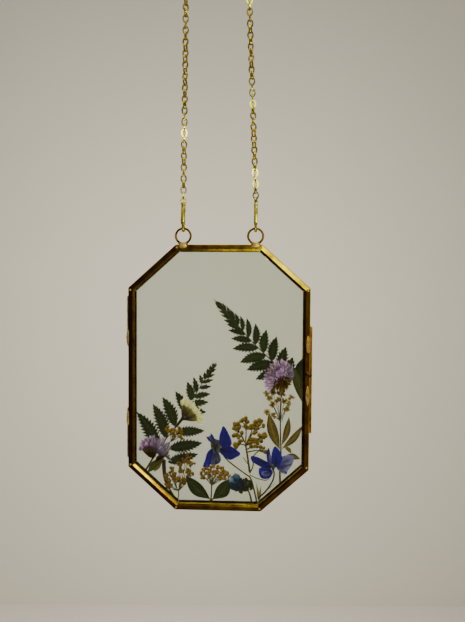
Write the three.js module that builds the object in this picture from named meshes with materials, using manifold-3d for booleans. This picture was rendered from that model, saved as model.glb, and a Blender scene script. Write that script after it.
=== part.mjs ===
// A pressed flower frame. Two eight-sided leaves of folded brass channel each hold a pane of glass,
// hinge together at the left side and shut at the right side under a soldered brass strip. Dried
// fronds, flowers and stems lie flat between the panes. Two rings soldered to the front leaf hang in
// lobster clasps, and one chain runs from clasp to clasp over the peg that carries it all.
//
// Millimetres. +X is right, +Y is away from the viewer, +Z is up. The origin is the crown of the
// chain, where it lies on its peg. Everything is built round the middle of the glass, in the group
// "object", and that group hangs below the origin.

import * as THREE from 'three';
import { mergeVertices } from 'three/addons/utils/BufferGeometryUtils.js';
import Module from 'manifold-3d';

const wasm = await Module();
wasm.setup();

// ---------------------------------------------------------------- driving dimensions

// The octagon, as half sizes
const HALF_WIDTH = 51;
const HALF_HEIGHT = 75;
const HALF_TOP_EDGE = 24.2;
const HALF_SIDE_EDGE = 50.8;

// Brass channel of one leaf
const LEAF_GAP = 0.3;
const WALL = 0.5;
const FACE_WIDTH = 3.7;
const INNER_FLANGE_WIDTH = 3.0;
const LEAF_DEPTH = 3.55;
const FACE_LIP = 0.1;
const RIDGE_INSET = 2.6;
const SHOULDER_INSET = 0.35;
const SHOULDER_DROP = 0.45;
const EDGE_DROP = 0.8;
const MITRE_GAP = 0.1;

// Glass pane of one leaf
const GLASS_THICKNESS = 2.0;
const GLASS_CLEARANCE = 0.2;

// Rings and their solder saddles
const RING_X = 20.3;
const RING_Y = -0.9;
const RING_Z = 80.0;
const RING_RADIUS = 4.2;
const RING_WIRE = 0.55;
const SADDLE_FOOT = 5.6;
const SADDLE_TOP = 4.2;
const SADDLE_HEIGHT = 1.2;
const SADDLE_THICKNESS = 1.8;
const SADDLE_GAP = 0.2;

// Lobster clasps, hooked round the top of each ring
const CLASP_THICKNESS = 2.4;
const HOOK_INNER_RADIUS = 1;
const HOOK_OUTER_RADIUS = 2;
const CLASP_EYE_HEIGHT = 13.4;
const CLASP_EYE_RADIUS = 1.5;
const CLASP_EYE_HOLE = 0.7;
const GATE_THICKNESS = 1.8;
const GATE_PIVOT = [1.3, 8.6];
const GATE_HEAD = 0.8;
const GATE_CLEARANCE = 0.2;
const GATE_TIP_HEIGHT = 2.85;
const GATE_TIP = [1.8, 2.75];

// Chain, as the plain tube that its links fill
const CHAIN_WIDTH = 3.7;
const CHAIN_STEPS = 40;
const CHAIN_CLEARANCE = 0.3;
const LEFT_STRAND = [[-19.9, 140], [-19.4, 180]];
const RIGHT_STRAND = [[17, 180], [18.7, 140]];
const CROWN_X = -1.8;
const ARCH_RADIUS = 17.3;
const ARCH_Z = 218;
const ARCH_STEPS = 8;

// Hinges, on an axis just outside the left walls
const HINGE_AXIS_X = -(HALF_WIDTH + 0.75);
const HINGE_STANDOFF = 0.15;
const KNUCKLE_RADIUS = 0.65;
const KNUCKLE_BORE = 0.4;
const KNUCKLE_LIP = 0.25;
const PIN_RADIUS = 0.35;
const PIN_OVERHANG = 0.3;
const HINGE_FLAP = 2.4;
const FLAP_THICKNESS = 0.5;
const FRONT_KNUCKLE = [18, 28];
const BACK_KNUCKLE = [28.3, 46];

// Latch strip and knob on the right side
const LATCH_THICKNESS = 1.1;
const LATCH_Y = [-2.6, 2.3];
const LATCH_Z = [-30, 29.5];
const LATCH_STANDOFF = 0.15;
const KNOB_RADIUS = 1.0;
const KNOB_PLACE = [51.6, -4.1, 2];
const KNOB_STEM = 0.4;

// Pressed specimens: thin layers, counted from the front pane
const SPECIMEN_THICKNESS = 0.2;
const LAYER_PITCH = 0.3;
const LAYERS = 5;
const HEART_RADIUS = 1.2;
const LEAFLET_SLENDERNESS = 0.36;

// ---------------------------------------------------------------- materials

const finish = (color, roughness, metalness = 0) => ({ color, roughness, metalness });
const BRASS = finish('#9a7426', 0.35, 1);
const DARK_BRASS = finish('#6b4a1c', 0.4, 1);
const SOLDERED_BRASS = finish('#b39a5c', 0.4, 1);
const CHAIN_BRASS = finish('#c89a35', 0.25, 1);
const GLASS = finish('#dfe6df', 0.05);
const FROND_GREEN = finish('#34431c', 0.8);
const LEAF_GREEN = finish('#46542a', 0.8);
const OLIVE = finish('#6a6228', 0.8);
const CREAM = finish('#ddd3b4', 0.8);
const LILAC = finish('#9a7fb0', 0.8);
const LARKSPUR_BLUE = finish('#2c2a90', 0.7);
const SKY_BLUE = finish('#6f8cba', 0.8);
const BUD_YELLOW = finish('#a8842a', 0.85);
const BUD_TAN = finish('#b08a55', 0.85);
const STEM_BROWN = finish('#4a3a24', 0.85);

// ---------------------------------------------------------------- helpers

// Outline points nearer than this are one point
const LEAST_STEP = 0.01;

const object = new THREE.Group();
object.position.set(-CROWN_X, -RING_Y, -(ARCH_Z + ARCH_RADIUS));

function addMesh(name, geometry, look, position = [0, 0, 0]) {
  const mesh = new THREE.Mesh(geometry, new THREE.MeshStandardMaterial(look));
  mesh.name = name;
  mesh.position.set(...position);
  object.add(mesh);
  return mesh;
}

// A closed geometry as a solid that can be joined to others
function toSolid(geometry) {
  const bare = geometry.clone();
  bare.deleteAttribute('normal');
  bare.deleteAttribute('uv');
  const merged = mergeVertices(bare, 1e-4);
  const vertProperties = new Float32Array(merged.attributes.position.array);
  const triVerts = new Uint32Array(merged.index.array);
  return new wasm.Manifold(new wasm.Mesh({ numProp: 3, vertProperties, triVerts }));
}

// Several closed geometries joined into one
function fuse(geometries) {
  const joined = geometries.map(toSolid).reduce((whole, piece) => whole.add(piece));
  const { vertProperties, triVerts } = joined.getMesh();
  const geometry = new THREE.BufferGeometry();
  geometry.setAttribute('position', new THREE.BufferAttribute(vertProperties, 3));
  geometry.setIndex(new THREE.BufferAttribute(triVerts, 1));
  geometry.computeVertexNormals();
  return geometry;
}

// A shape given depth, its outline sampled and freed of points that lie on top of each other
function extrude(shape, depth, divisions = 5) {
  const distinct = (points) => points.filter((place, i) => {
    const next = points[(i + 1) % points.length];
    return place.distanceTo(next) > LEAST_STEP;
  });
  const turned = (points, clockwise) => {
    const already = THREE.ShapeUtils.isClockWise(points) === clockwise;
    return already ? points : points.reverse();
  };
  const sampled = shape.extractPoints(divisions);
  const outline = new THREE.Shape(turned(distinct(sampled.shape), false));
  outline.holes = sampled.holes.map((hole) => new THREE.Path(turned(distinct(hole), true)));
  return new THREE.ExtrudeGeometry(outline, { depth, bevelEnabled: false });
}

// A flat outline drawn in X and Z, given thickness along Y and centred on y = 0
function uprightPlate(shape, thickness) {
  return extrude(shape, thickness).translate(0, 0, -thickness / 2).rotateX(Math.PI / 2);
}

// ---------------------------------------------------------------- brass leaves and glass

const CORNERS = [
  [-HALF_TOP_EDGE, HALF_HEIGHT],
  [HALF_TOP_EDGE, HALF_HEIGHT],
  [HALF_WIDTH, HALF_SIDE_EDGE],
  [HALF_WIDTH, -HALF_SIDE_EDGE],
  [HALF_TOP_EDGE, -HALF_HEIGHT],
  [-HALF_TOP_EDGE, -HALF_HEIGHT],
  [-HALF_WIDTH, -HALF_SIDE_EDGE],
  [-HALF_WIDTH, HALF_SIDE_EDGE],
].map(([x, z]) => new THREE.Vector2(x, z));

const BAR_NAMES = ['top', 'upper_right', 'right', 'lower_right', 'bottom', 'lower_left', 'left', 'upper_left'];

// How far a corner moves along its edges for each millimetre that the outline is set in
function mitreAt(index) {
  const corner = CORNERS[index];
  const arriving = corner.clone().sub(CORNERS[(index + 7) % 8]);
  const leaving = CORNERS[(index + 1) % 8].clone().sub(corner);
  const turn = Math.abs(arriving.angle() - leaving.angle());
  return Math.tan(Math.min(turn, 2 * Math.PI - turn) / 2);
}

// The octagon set in by a distance
function insetOutline(inset) {
  return CORNERS.map((corner, index) => {
    const along = CORNERS[(index + 1) % 8].clone().sub(corner).normalize();
    const inward = new THREE.Vector2(along.y, -along.x);
    return corner.clone().addScaledVector(inward, inset).addScaledVector(along, inset * mitreAt(index));
  });
}

// Section of the folded channel: x is the inset from the outer edge, y the height off the mid plane
function channelSection() {
  const foot = LEAF_GAP / 2;
  const pocketFoot = foot + WALL;
  const pocketTop = pocketFoot + GLASS_THICKNESS + 2 * GLASS_CLEARANCE;
  const ridge = foot + LEAF_DEPTH;
  return new THREE.Shape([
    [0, foot], [INNER_FLANGE_WIDTH, foot], [INNER_FLANGE_WIDTH, pocketFoot], [WALL, pocketFoot],
    [WALL, pocketTop], [FACE_WIDTH, pocketTop], [FACE_WIDTH, pocketTop + FACE_LIP], [RIDGE_INSET, ridge],
    [SHOULDER_INSET, ridge - SHOULDER_DROP], [0, ridge - EDGE_DROP],
  ].map(([inset, height]) => new THREE.Vector2(inset, height)));
}

// One mitred bar of a leaf; side is -1 for the front leaf and 1 for the back leaf
function barGeometry(index, side) {
  const next = (index + 1) % 8;
  const [from, to] = side > 0 ? [index, next] : [next, index];
  const run = CORNERS[to].clone().sub(CORNERS[from]);
  const length = run.length();
  const bar = new THREE.ExtrudeGeometry(channelSection(), { depth: length, bevelEnabled: false });
  const place = bar.attributes.position;
  for (let i = 0; i < place.count; i += 1) {
    const inset = place.getX(i);
    const atStart = place.getZ(i) < length / 2;
    const cut = MITRE_GAP + inset * mitreAt(atStart ? from : to);
    place.setZ(i, atStart ? cut : length - cut);
  }
  const along = new THREE.Vector3(run.x, 0, run.y).normalize();
  const outward = new THREE.Vector3(0, side, 0);
  const inward = new THREE.Vector3().crossVectors(outward, along);
  bar.applyMatrix4(new THREE.Matrix4().makeBasis(inward, outward, along));
  bar.translate(CORNERS[from].x, 0, CORNERS[from].y);
  return bar;
}

function buildLeaf(leafName, side) {
  BAR_NAMES.forEach((barName, index) => {
    addMesh(`${leafName}_${barName}_bar`, barGeometry(index, side), BRASS);
  });
  const outline = new THREE.Shape(insetOutline(WALL + GLASS_CLEARANCE));
  const height = LEAF_GAP / 2 + WALL + GLASS_CLEARANCE + GLASS_THICKNESS / 2;
  addMesh(`${leafName}_glass`, uprightPlate(outline, GLASS_THICKNESS), GLASS, [0, side * height, 0]);
}

// ---------------------------------------------------------------- rings

// A ring of round wire standing in a low saddle of solder on the top bar
function ringGeometry() {
  const wire = new THREE.Path().absarc(RING_RADIUS, 0, RING_WIRE, 0, 2 * Math.PI).getSpacedPoints(8);
  const ring = new THREE.LatheGeometry(wire, 28);
  const foot = HALF_HEIGHT + SADDLE_GAP - RING_Z;
  const saddle = new THREE.Shape([
    new THREE.Vector2(-SADDLE_FOOT / 2, foot),
    new THREE.Vector2(SADDLE_FOOT / 2, foot),
    new THREE.Vector2(SADDLE_TOP / 2, foot + SADDLE_HEIGHT),
    new THREE.Vector2(-SADDLE_TOP / 2, foot + SADDLE_HEIGHT),
  ]);
  return fuse([ring, uprightPlate(saddle, SADDLE_THICKNESS)]);
}

// ---------------------------------------------------------------- lobster clasps

// Clasp outlines are drawn with x as the distance behind the ring's wire and y as the height over it
function claspPlate(shape, thickness) {
  const turn = new THREE.Matrix4().makeBasis(
    new THREE.Vector3(0, 1, 0), new THREE.Vector3(0, 0, 1), new THREE.Vector3(1, 0, 0));
  return extrude(shape, thickness).translate(0, 0, -thickness / 2).applyMatrix4(turn);
}

// Body: a hook round the ring, a smooth spine, a socket for the gate and an eye for the chain
function claspBodyShape() {
  const [pivotBack, pivotHeight] = GATE_PIVOT;
  const body = new THREE.Shape();
  body.moveTo(2.75, 2.6);
  body.quadraticCurveTo(2.7, 0.9, 1.87, -0.7);
  body.absarc(0, 0, HOOK_OUTER_RADIUS, -0.36, Math.PI + 0.36, true);
  body.quadraticCurveTo(-3.5, 2.4, -2.8, 5.5);
  body.quadraticCurveTo(-2.1, 9.2, -0.9, CLASP_EYE_HEIGHT - 1.2);
  body.absarc(0, CLASP_EYE_HEIGHT, CLASP_EYE_RADIUS, -2.21, -0.93, true);
  body.lineTo(2.1, 10.2);
  body.absarc(pivotBack, pivotHeight, GATE_HEAD + GATE_CLEARANCE, 1.0, 3.3, false);
  body.quadraticCurveTo(-1.2, 7.2, -1.7, 4.2);
  body.quadraticCurveTo(-1.9, 1.6, -1, 0);
  body.absarc(0, 0, HOOK_INNER_RADIUS, Math.PI, 2 * Math.PI, false);
  body.quadraticCurveTo(1.7, 1.2, 1.75, 2.6);
  const eye = new THREE.Path().absarc(0, CLASP_EYE_HEIGHT, CLASP_EYE_HOLE, 0, 2 * Math.PI, true);
  body.holes.push(eye);
  return body;
}

// Gate: a round head in the socket and a tapering finger down to the tip of the hook
function claspGateShape() {
  const [pivotBack, pivotHeight] = GATE_PIVOT;
  const [tipFront, tipBack] = GATE_TIP;
  const gate = new THREE.Shape();
  gate.moveTo(tipBack, GATE_TIP_HEIGHT);
  gate.lineTo(pivotBack + GATE_HEAD, pivotHeight);
  gate.absarc(pivotBack, pivotHeight, GATE_HEAD, 0, Math.PI, false);
  gate.lineTo(tipFront, GATE_TIP_HEIGHT);
  return gate;
}

function buildHanging(sideName, x) {
  const hookPlace = [x, RING_Y, RING_Z + RING_RADIUS];
  addMesh(`${sideName}_ring`, ringGeometry(), SOLDERED_BRASS, [x, RING_Y, RING_Z]);
  addMesh(`${sideName}_clasp`, claspPlate(claspBodyShape(), CLASP_THICKNESS), CHAIN_BRASS, hookPlace);
  addMesh(`${sideName}_clasp_gate`, claspPlate(claspGateShape(), GATE_THICKNESS), CHAIN_BRASS, hookPlace);
}

// ---------------------------------------------------------------- chain

// From the left clasp's eye up, over the round peg, and down to the right clasp's eye
function chainRoute() {
  const foot = RING_Z + RING_RADIUS + CLASP_EYE_HEIGHT + CLASP_EYE_RADIUS + CHAIN_CLEARANCE;
  const arch = [];
  for (let step = 0; step <= ARCH_STEPS; step += 1) {
    const angle = Math.PI * (1 - step / ARCH_STEPS);
    arch.push([CROWN_X + ARCH_RADIUS * Math.cos(angle), ARCH_Z + ARCH_RADIUS * Math.sin(angle)]);
  }
  const route = [[-RING_X, foot], ...LEFT_STRAND, ...arch, ...RIGHT_STRAND, [RING_X, foot]];
  return route.map(([x, z]) => new THREE.Vector3(x, RING_Y, z));
}

function buildChain() {
  const section = new THREE.Shape();
  section.absarc(0, 0, CHAIN_WIDTH / 2, 0, 2 * Math.PI);
  const outline = new THREE.Shape(section.getSpacedPoints(8).slice(0, 8));
  const path = new THREE.CatmullRomCurve3(chainRoute());
  const tube = new THREE.ExtrudeGeometry(outline, { steps: CHAIN_STEPS, extrudePath: path });
  addMesh('chain', tube, CHAIN_BRASS);
}

// ---------------------------------------------------------------- hinges and latch

// A knuckle rolled from a strip: a tube round the pin, and a flap along its own leaf's wall
function knuckleGeometry(side, length) {
  const nearWall = -(HALF_WIDTH + HINGE_STANDOFF);
  const section = new THREE.Shape();
  const meet = Math.asin((nearWall - FLAP_THICKNESS - HINGE_AXIS_X) / KNUCKLE_RADIUS);
  const lip = Math.asin(KNUCKLE_LIP / KNUCKLE_RADIUS);
  section.moveTo(nearWall, side * HINGE_FLAP);
  section.lineTo(nearWall - FLAP_THICKNESS, side * HINGE_FLAP);
  section.absarc(HINGE_AXIS_X, 0, KNUCKLE_RADIUS, side * (Math.PI / 2 - meet), -side * lip, side < 0);
  section.lineTo(nearWall, -side * KNUCKLE_LIP);
  const bore = new THREE.Path().absarc(HINGE_AXIS_X, 0, KNUCKLE_BORE, 0, 2 * Math.PI, true);
  section.holes.push(bore);
  return extrude(section, length, 7);
}

// One hinge; half is 1 for the upper hinge and -1 for the lower one, which mirrors it
function buildHinge(hingeName, half) {
  const pieces = [['front', -1, FRONT_KNUCKLE], ['back', 1, BACK_KNUCKLE]];
  for (const [leafName, side, [low, high]] of pieces) {
    const foot = half > 0 ? low : -high;
    const knuckle = knuckleGeometry(side, high - low);
    addMesh(`${hingeName}_hinge_${leafName}_knuckle`, knuckle, DARK_BRASS, [0, 0, foot]);
  }
  const pinLength = BACK_KNUCKLE[1] - FRONT_KNUCKLE[0] + 2 * PIN_OVERHANG;
  const pin = new THREE.CylinderGeometry(PIN_RADIUS, PIN_RADIUS, pinLength, 14).rotateX(Math.PI / 2);
  const middle = half * (FRONT_KNUCKLE[0] + BACK_KNUCKLE[1]) / 2;
  addMesh(`${hingeName}_hinge_pin`, pin, BRASS, [HINGE_AXIS_X, 0, middle]);
}

// The latch: a strip along the front leaf's wall that grips the back leaf's wall, and its ball knob
function buildLatch() {
  const depth = LATCH_Y[1] - LATCH_Y[0];
  const height = LATCH_Z[1] - LATCH_Z[0];
  const strip = new THREE.BoxGeometry(LATCH_THICKNESS, depth, height);
  const stripX = HALF_WIDTH + LATCH_STANDOFF + LATCH_THICKNESS / 2;
  addMesh('latch_strip', strip, BRASS, [stripX, LATCH_Y[0] + depth / 2, LATCH_Z[0] + height / 2]);

  const stemReach = LATCH_Y[0] - KNOB_PLACE[1] - LATCH_STANDOFF;
  const join = Math.asin(KNOB_STEM / KNOB_RADIUS);
  const ball = new THREE.Path().absarc(0, 0, KNOB_RADIUS, -Math.PI / 2, Math.PI / 2 - join).getSpacedPoints(7);
  const profile = [...ball, new THREE.Vector2(KNOB_STEM, stemReach), new THREE.Vector2(0, stemReach)];
  profile[0].x = 0;
  addMesh('latch_knob', new THREE.LatheGeometry(profile, 12), SOLDERED_BRASS, KNOB_PLACE);
}

// ---------------------------------------------------------------- flat shapes of dried plants

const point = ([x, z]) => new THREE.Vector2(x, z);

// A leaf or petal from its base to its tip, widest at a fraction of its length
function blade(base, tip, width, widest = 0.45) {
  const start = point(base);
  const run = point(tip).sub(start);
  const across = new THREE.Vector2(-run.y, run.x).normalize();
  const bend = Math.log(0.5) / Math.log(widest);
  const steps = 5;
  const side = (sign) => Array.from({ length: steps - 1 }, (_, i) => {
    const t = (i + 1) / steps;
    const half = sign * (width / 2) * Math.sin(Math.PI * t ** bend);
    return start.clone().addScaledVector(run, t).addScaledVector(across, half);
  });
  return new THREE.Shape([start, ...side(-1), start.clone().add(run), ...side(1).reverse()]);
}

// A stem of even width through a few points
function stem(points, width) {
  const line = new THREE.SplineCurve(points.map(point)).getPoints(2 * points.length);
  const side = (sign) => line.map((place, i) => {
    const run = line[Math.min(i + 1, line.length - 1)].clone().sub(line[Math.max(i - 1, 0)]).normalize();
    return place.clone().addScaledVector(new THREE.Vector2(-run.y, run.x), sign * width / 2);
  });
  return new THREE.Shape([...side(-1), ...side(1).reverse()]);
}

// A round bud or flower head
function bud([x, z], radius) {
  const outline = new THREE.Shape();
  outline.absarc(x, z, radius, 0, 2 * Math.PI);
  return new THREE.Shape(outline.getSpacedPoints(6).slice(0, 6));
}

// A straight pedicel that thickens towards its upper end
function pedicel(foot, top, width = 0.7) {
  const across = point(top).sub(point(foot)).normalize().rotateAround(new THREE.Vector2(), Math.PI / 2);
  const corner = (place, reach) => point(place).addScaledVector(across, reach);
  const left = [corner(foot, -width / 3), corner(top, -width / 2)];
  const right = [corner(top, width / 2), corner(foot, width / 3)];
  return new THREE.Shape([...left, ...right]);
}

// Petals spread round a heart: each is [direction in degrees, length, width]
function petals([x, z], list, widest = 0.65) {
  const blades = list.map(([degrees, length, width]) => {
    const angle = THREE.MathUtils.degToRad(degrees);
    return blade([x, z], [x + length * Math.cos(angle), z + length * Math.sin(angle)], width, widest);
  });
  return [bud([x, z], HEART_RADIUS), ...blades];
}

// A head of buds that touch each other, with every few of them on a pedicel to one meeting place
function budHead(places, meeting, radius, every) {
  const pedicels = places.filter((_, i) => i % every === 0).map((place) => pedicel(meeting, place));
  return [...places.map((place) => bud(place, radius)), ...pedicels];
}

// A frond: a midrib through its points, and leaflets given as [distance from the tip, tip x, tip z]
function frond(midrib, leaflets, width) {
  const line = new THREE.SplineCurve(midrib.map(point));
  const length = line.getLength();
  const blades = leaflets.map(([distance, x, z]) => {
    const base = line.getPointAt(Math.min(distance / length, 1));
    const reach = Math.hypot(x - base.x, z - base.y);
    return blade([base.x, base.y], [x, z], reach * LEAFLET_SLENDERNESS, 0.42);
  });
  return [stem(midrib, width), ...blades];
}

function addSpecimen(name, shapes, layer, look) {
  const y = (layer - (LAYERS + 1) / 2) * LAYER_PITCH;
  const plates = shapes.map((shape) => uprightPlate(shape, SPECIMEN_THICKNESS));
  addMesh(name, fuse(plates), look, [0, y, 0]);
}

// ---------------------------------------------------------------- the pressed specimens

function buildFronds() {
  const upperMidrib = [[-3.5, 44.5], [2.5, 38], [7, 33.2], [13, 26.7], [18, 21], [25.4, 13.8], [30, 9.5],
    [40, 0]];
  const upperLeaflets = [
    [9, 0.3, 42.4], [12, 2, 41.7], [15, 3.7, 40.7], [17.5, 5.9, 39], [20.5, 8.4, 36.8], [24.5, 11.5, 35],
    [30, 15.1, 34.2], [35, 19.8, 31.4], [41.5, 25.7, 28], [48, 31, 24], [55, 36.7, 18.8], [61, 40.4, 13.2],
    [8, -2.1, 41.2], [12.5, -0.5, 38], [16, 0.3, 36], [20, 1.9, 33.2], [23.5, 3.7, 30.6], [27, 4.5, 26.9],
    [32, 6.4, 22.4], [37.5, 7.1, 16.8], [43.5, 11.2, 9.3], [50, 14.7, 4.9], [56, 20.1, 0],
  ];
  addSpecimen('upper_frond', frond(upperMidrib, upperLeaflets, 0.7), 5, FROND_GREEN);

  const leftMidrib = [[-1.7, 9.3], [-7.3, 0.1], [-12.4, -8.3], [-16.9, -16.7], [-24.5, -28.2], [-29.8, -35.2],
    [-36, -43]];
  const leftLeaflets = [
    [5, -0.7, 8.2], [11, -2.3, 1.8], [14.5, -3.2, -1.2], [18, -4.4, -5.1], [24, -4.7, -9.3], [29, -5.7, -14],
    [34.5, -7, -19.7], [45, -7.8, -29.3], [53, -8.9, -36.4], [60, -10.9, -42.7],
    [6, -4.6, 7.2], [9, -6.4, 5.3], [12, -8.1, 3.1], [15, -10.8, 1.5], [21, -14.3, 0], [26.5, -17.9, -2.5],
    [34, -24.7, -8], [44, -32.1, -11.3], [52.5, -37.7, -15.3], [60, -47.1, -20],
  ];
  addSpecimen('left_frond', frond(leftMidrib, leftLeaflets, 0.8), 5, FROND_GREEN);
}

function buildLeftFlowers() {
  const creamPetals = [[92, 12.3, 5], [72, 12.6, 5], [52, 13, 5], [32, 13, 5], [12, 12.5, 5], [-7, 10.5, 4.5]];
  const creamStem = stem([[-21, -25], [-22.5, -26.8], [-24.5, -28.5]], 0.8);
  addSpecimen('cream_flower', [...petals([-21, -25], creamPetals, 0.75), creamStem], 1, CREAM);

  const clusterBuds = [[-28.6, -29.6], [-25.5, -29.8], [-22.4, -29.4], [-26, -33], [-23.4, -32],
    [-21.2, -33.7]];
  addSpecimen('left_bud_cluster', budHead(clusterBuds, [-26.5, -37], 1.9, 3), 3, BUD_YELLOW);

  const lilacPetals = [[166, 8.5, 5.5], [140, 10, 6], [112, 10.5, 6], [84, 10, 6], [56, 9, 6], [28, 11, 6],
    [4, 10, 5]];
  const lilacStem = stem([[-37.5, -43], [-37.5, -46.5], [-41.4, -53.3]], 1.2);
  addSpecimen('left_lilac_flower', [...petals([-37.5, -43], lilacPetals), lilacStem], 1, LILAC);

  const calyxLeaf = [blade([-31, -45], [-39.4, -54.3], 4.4, 0.55), blade([-31, -45], [-26, -48.5], 3.6)];
  addSpecimen('left_lilac_leaf', [bud([-31, -45], 1.4), ...calyxLeaf], 2, LEAF_GREEN);

  const darkStem = stem([[-31.6, -48.5], [-31.4, -54], [-30, -60.5], [-25.8, -67.7]], 1.2);
  addSpecimen('left_dark_stem', [darkStem], 4, STEM_BROWN);

  const sprigLeft = [[-27.4, -61.4], [-26.6, -53.4], [-29, -55], [-29.3, -58], [-27, -56.5], [-24.8, -56.5],
    [-25.5, -59.2]];
  const sprigRight = [[-21, -53], [-22, -50], [-19.5, -47.8], [-16.9, -45.8], [-15.6, -49], [-18, -50.2],
    [-18.3, -53.2], [-16, -55]];
  const sprig = [
    ...budHead(sprigLeft, [-23, -65], 1.9, 7),
    ...budHead(sprigRight, [-22.4, -65], 2.1, 8),
    stem([[-22.7, -64], [-22.6, -67], [-22.9, -70.3]], 0.8),
  ];
  addSpecimen('left_bud_sprig', sprig, 3, BUD_YELLOW);
}

function buildMiddleFlowers() {
  const domeBuds = [[-9.3, -55.6], [-7.8, -53], [-5.4, -51.3], [-2.5, -50.6], [0.4, -51], [3, -52.5],
    [5.4, -54.8], [-6.2, -54.6], [-3.6, -53.4], [-0.8, -53.4], [1.8, -54.9]];
  const domeStem = stem([[-3.7, -61], [-3.8, -66], [-4, -71]], 0.9);
  addSpecimen('tan_umbel', [...budHead(domeBuds, [-3.7, -61.5], 1.9, 3), domeStem], 3, BUD_TAN);

  const ovateLeaves = [
    blade([-5, -69], [-18.5, -56], 7.5, 0.5),
    blade([-3, -69.5], [6.5, -57.5], 8, 0.5),
    stem([[-5.6, -68.5], [-4, -70.2], [-2.4, -69]], 1),
  ];
  addSpecimen('ovate_leaf_pair', ovateLeaves, 4, LEAF_GREEN);

  const larkspurPetals = [[80, 14.5, 7.5], [0, 11, 6.8], [-128, 13.5, 6], [-103, 10, 6.5], [125, 10.5, 3.5]];
  const stemLine = [[3, -44], [5.2, -46.7], [10.4, -50.8], [18.4, -56.7], [20.4, -63], [22.2, -71]];
  const larkspurHeart = blade([-1.5, -40], [6, -45], 5, 0.5);
  const larkspur = [...petals([1, -42], larkspurPetals), larkspurHeart, stem(stemLine, 0.8)];
  addSpecimen('left_larkspur', larkspur, 2, LARKSPUR_BLUE);

  const smallPetals = [[90, 5.8, 4], [28, 5.6, 4], [150, 4.6, 3.6], [222, 5, 3.8], [275, 4, 3.6],
    [318, 4.8, 3.8]];
  addSpecimen('small_blue_flower', petals([10, -59.7], smallPetals), 1, SKY_BLUE);

  const greenBuds = [[16.2, -63], [17.6, -58.4], [18.1, -60.9], [15.3, -60.3], [13.3, -62.4], [14.6, -57.9]];
  const greenStem = stem([[16, -61.9], [17.7, -67.3], [18.7, -71.3]], 0.9);
  addSpecimen('green_bud_cluster', [...greenBuds.map((place) => bud(place, 1.8)), greenStem], 4, LEAF_GREEN);

  const umbelBuds = [[9.2, -27.2], [11.8, -25.4], [15.2, -24], [11, -29.4], [14.5, -27.6], [10.2, -32.8],
    [12.8, -31.6], [10, -38.2], [12.2, -36], [16.4, -36.6], [18.2, -34.8], [18.6, -38.2], [21.2, -35.4],
    [22, -38.5], [19, -27.6], [22, -25], [25.4, -26.2], [22, -29.2], [24, -32], [26.6, -32.6], [24.6, -35.6],
    [26.4, -40.6]];
  const umbelStems = [
    stem([[15.4, -37.3], [16.6, -44], [18, -53.5]], 0.9),
    stem([[24, -40.5], [20.3, -44.5], [19.4, -49.5], [18, -53.5]], 0.6),
    stem([[10.4, -40.7], [15.6, -38.8]], 0.8),
    stem([[14.2, -45], [16, -48], [17.4, -50]], 0.5),
    stem([[15.4, -37.5], [15.2, -31], [15.2, -24]], 0.6),
    stem([[15.6, -38.5], [20, -32], [22, -25]], 0.6),
    stem([[15.6, -38.5], [21.2, -35.4], [26, -32.6]], 0.6),
    stem([[16.6, -41], [22, -38.5], [26.4, -40.6]], 0.5),
  ];
  addSpecimen('yellow_umbel', [...umbelBuds.map((place) => bud(place, 2.1)), ...umbelStems], 3, BUD_YELLOW);
}

function buildRightFlowers() {
  const larkspurPetals = [[160, 13, 5.5], [200, 8.5, 5.5], [112, 10, 2.6], [84, 11.5, 6.5], [28, 12, 8.5],
    [-22, 7.5, 5]];
  const larkspurStem = stem([[31.5, -50], [31.8, -55.5], [29.7, -60.6], [26.4, -65], [22.7, -68.3]], 0.8);
  const lowerStem = stem([[26, -55], [22, -56.8], [19.6, -55.6]], 0.6);
  const larkspur = [...petals([31, -50.5], larkspurPetals), larkspurStem, lowerStem];
  addSpecimen('right_larkspur', larkspur, 2, LARKSPUR_BLUE);

  const sprigLeaves = [
    blade([35.2, -41], [28.3, -21], 4.2, 0.55), blade([35.2, -39.5], [39.9, -23], 3.4, 0.6),
    blade([35.3, -41.5], [47.2, -27.7], 3.2, 0.6), blade([35.3, -43], [41, -40.4], 1.6),
    blade([35.3, -44.8], [46.2, -46], 2.4, 0.75),
  ];
  const sprigBuds = [[30.5, -14.5], [27.5, -19], [31.5, -21], [39.5, -14], [38.5, -17], [27, -8.5], [31, -8],
    [36, -9], [41, -10.5]];
  const sprigStems = [
    stem([[35, -11], [35, -28], [35.5, -43], [35.3, -59.8]], 0.8),
    stem([[27.5, -19], [31, -21.5], [35, -27]], 0.5),
  ];
  const sprig = [...sprigLeaves, ...sprigStems, ...budHead(sprigBuds, [35, -22], 1.1, 1)];
  addSpecimen('leafy_sprig', sprig, 4, OLIVE);

  const grass = [blade([23.4, -70], [21.8, -59], 1.2, 0.3), blade([23.6, -70], [23.8, -62], 1.2, 0.3)];
  addSpecimen('grass_blades', grass, 3, OLIVE);

  const lilacPetals = [[100, 10, 7.5], [140, 11, 7.5], [178, 10, 7], [215, 9.5, 6.5], [60, 10, 7],
    [20, 9, 6.5]];
  addSpecimen('right_lilac_flower', petals([35, 1], lilacPetals), 1, LILAC);

  const flowerLeaves = [blade([41.5, 9], [47.3, -11], 6.5, 0.5), blade([43.5, -3], [47, 11.2], 3.4, 0.45)];
  addSpecimen('right_flower_leaf', flowerLeaves, 3, FROND_GREEN);
}

// ---------------------------------------------------------------- assembly

buildLeaf('front', -1);
buildLeaf('back', 1);
buildHanging('left', -RING_X);
buildHanging('right', RING_X);
buildChain();
buildHinge('upper', 1);
buildHinge('lower', -1);
buildLatch();
buildFronds();
buildLeftFlowers();
buildMiddleFlowers();
buildRightFlowers();

const root = new THREE.Group();
root.add(object);

export default root;
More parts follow.
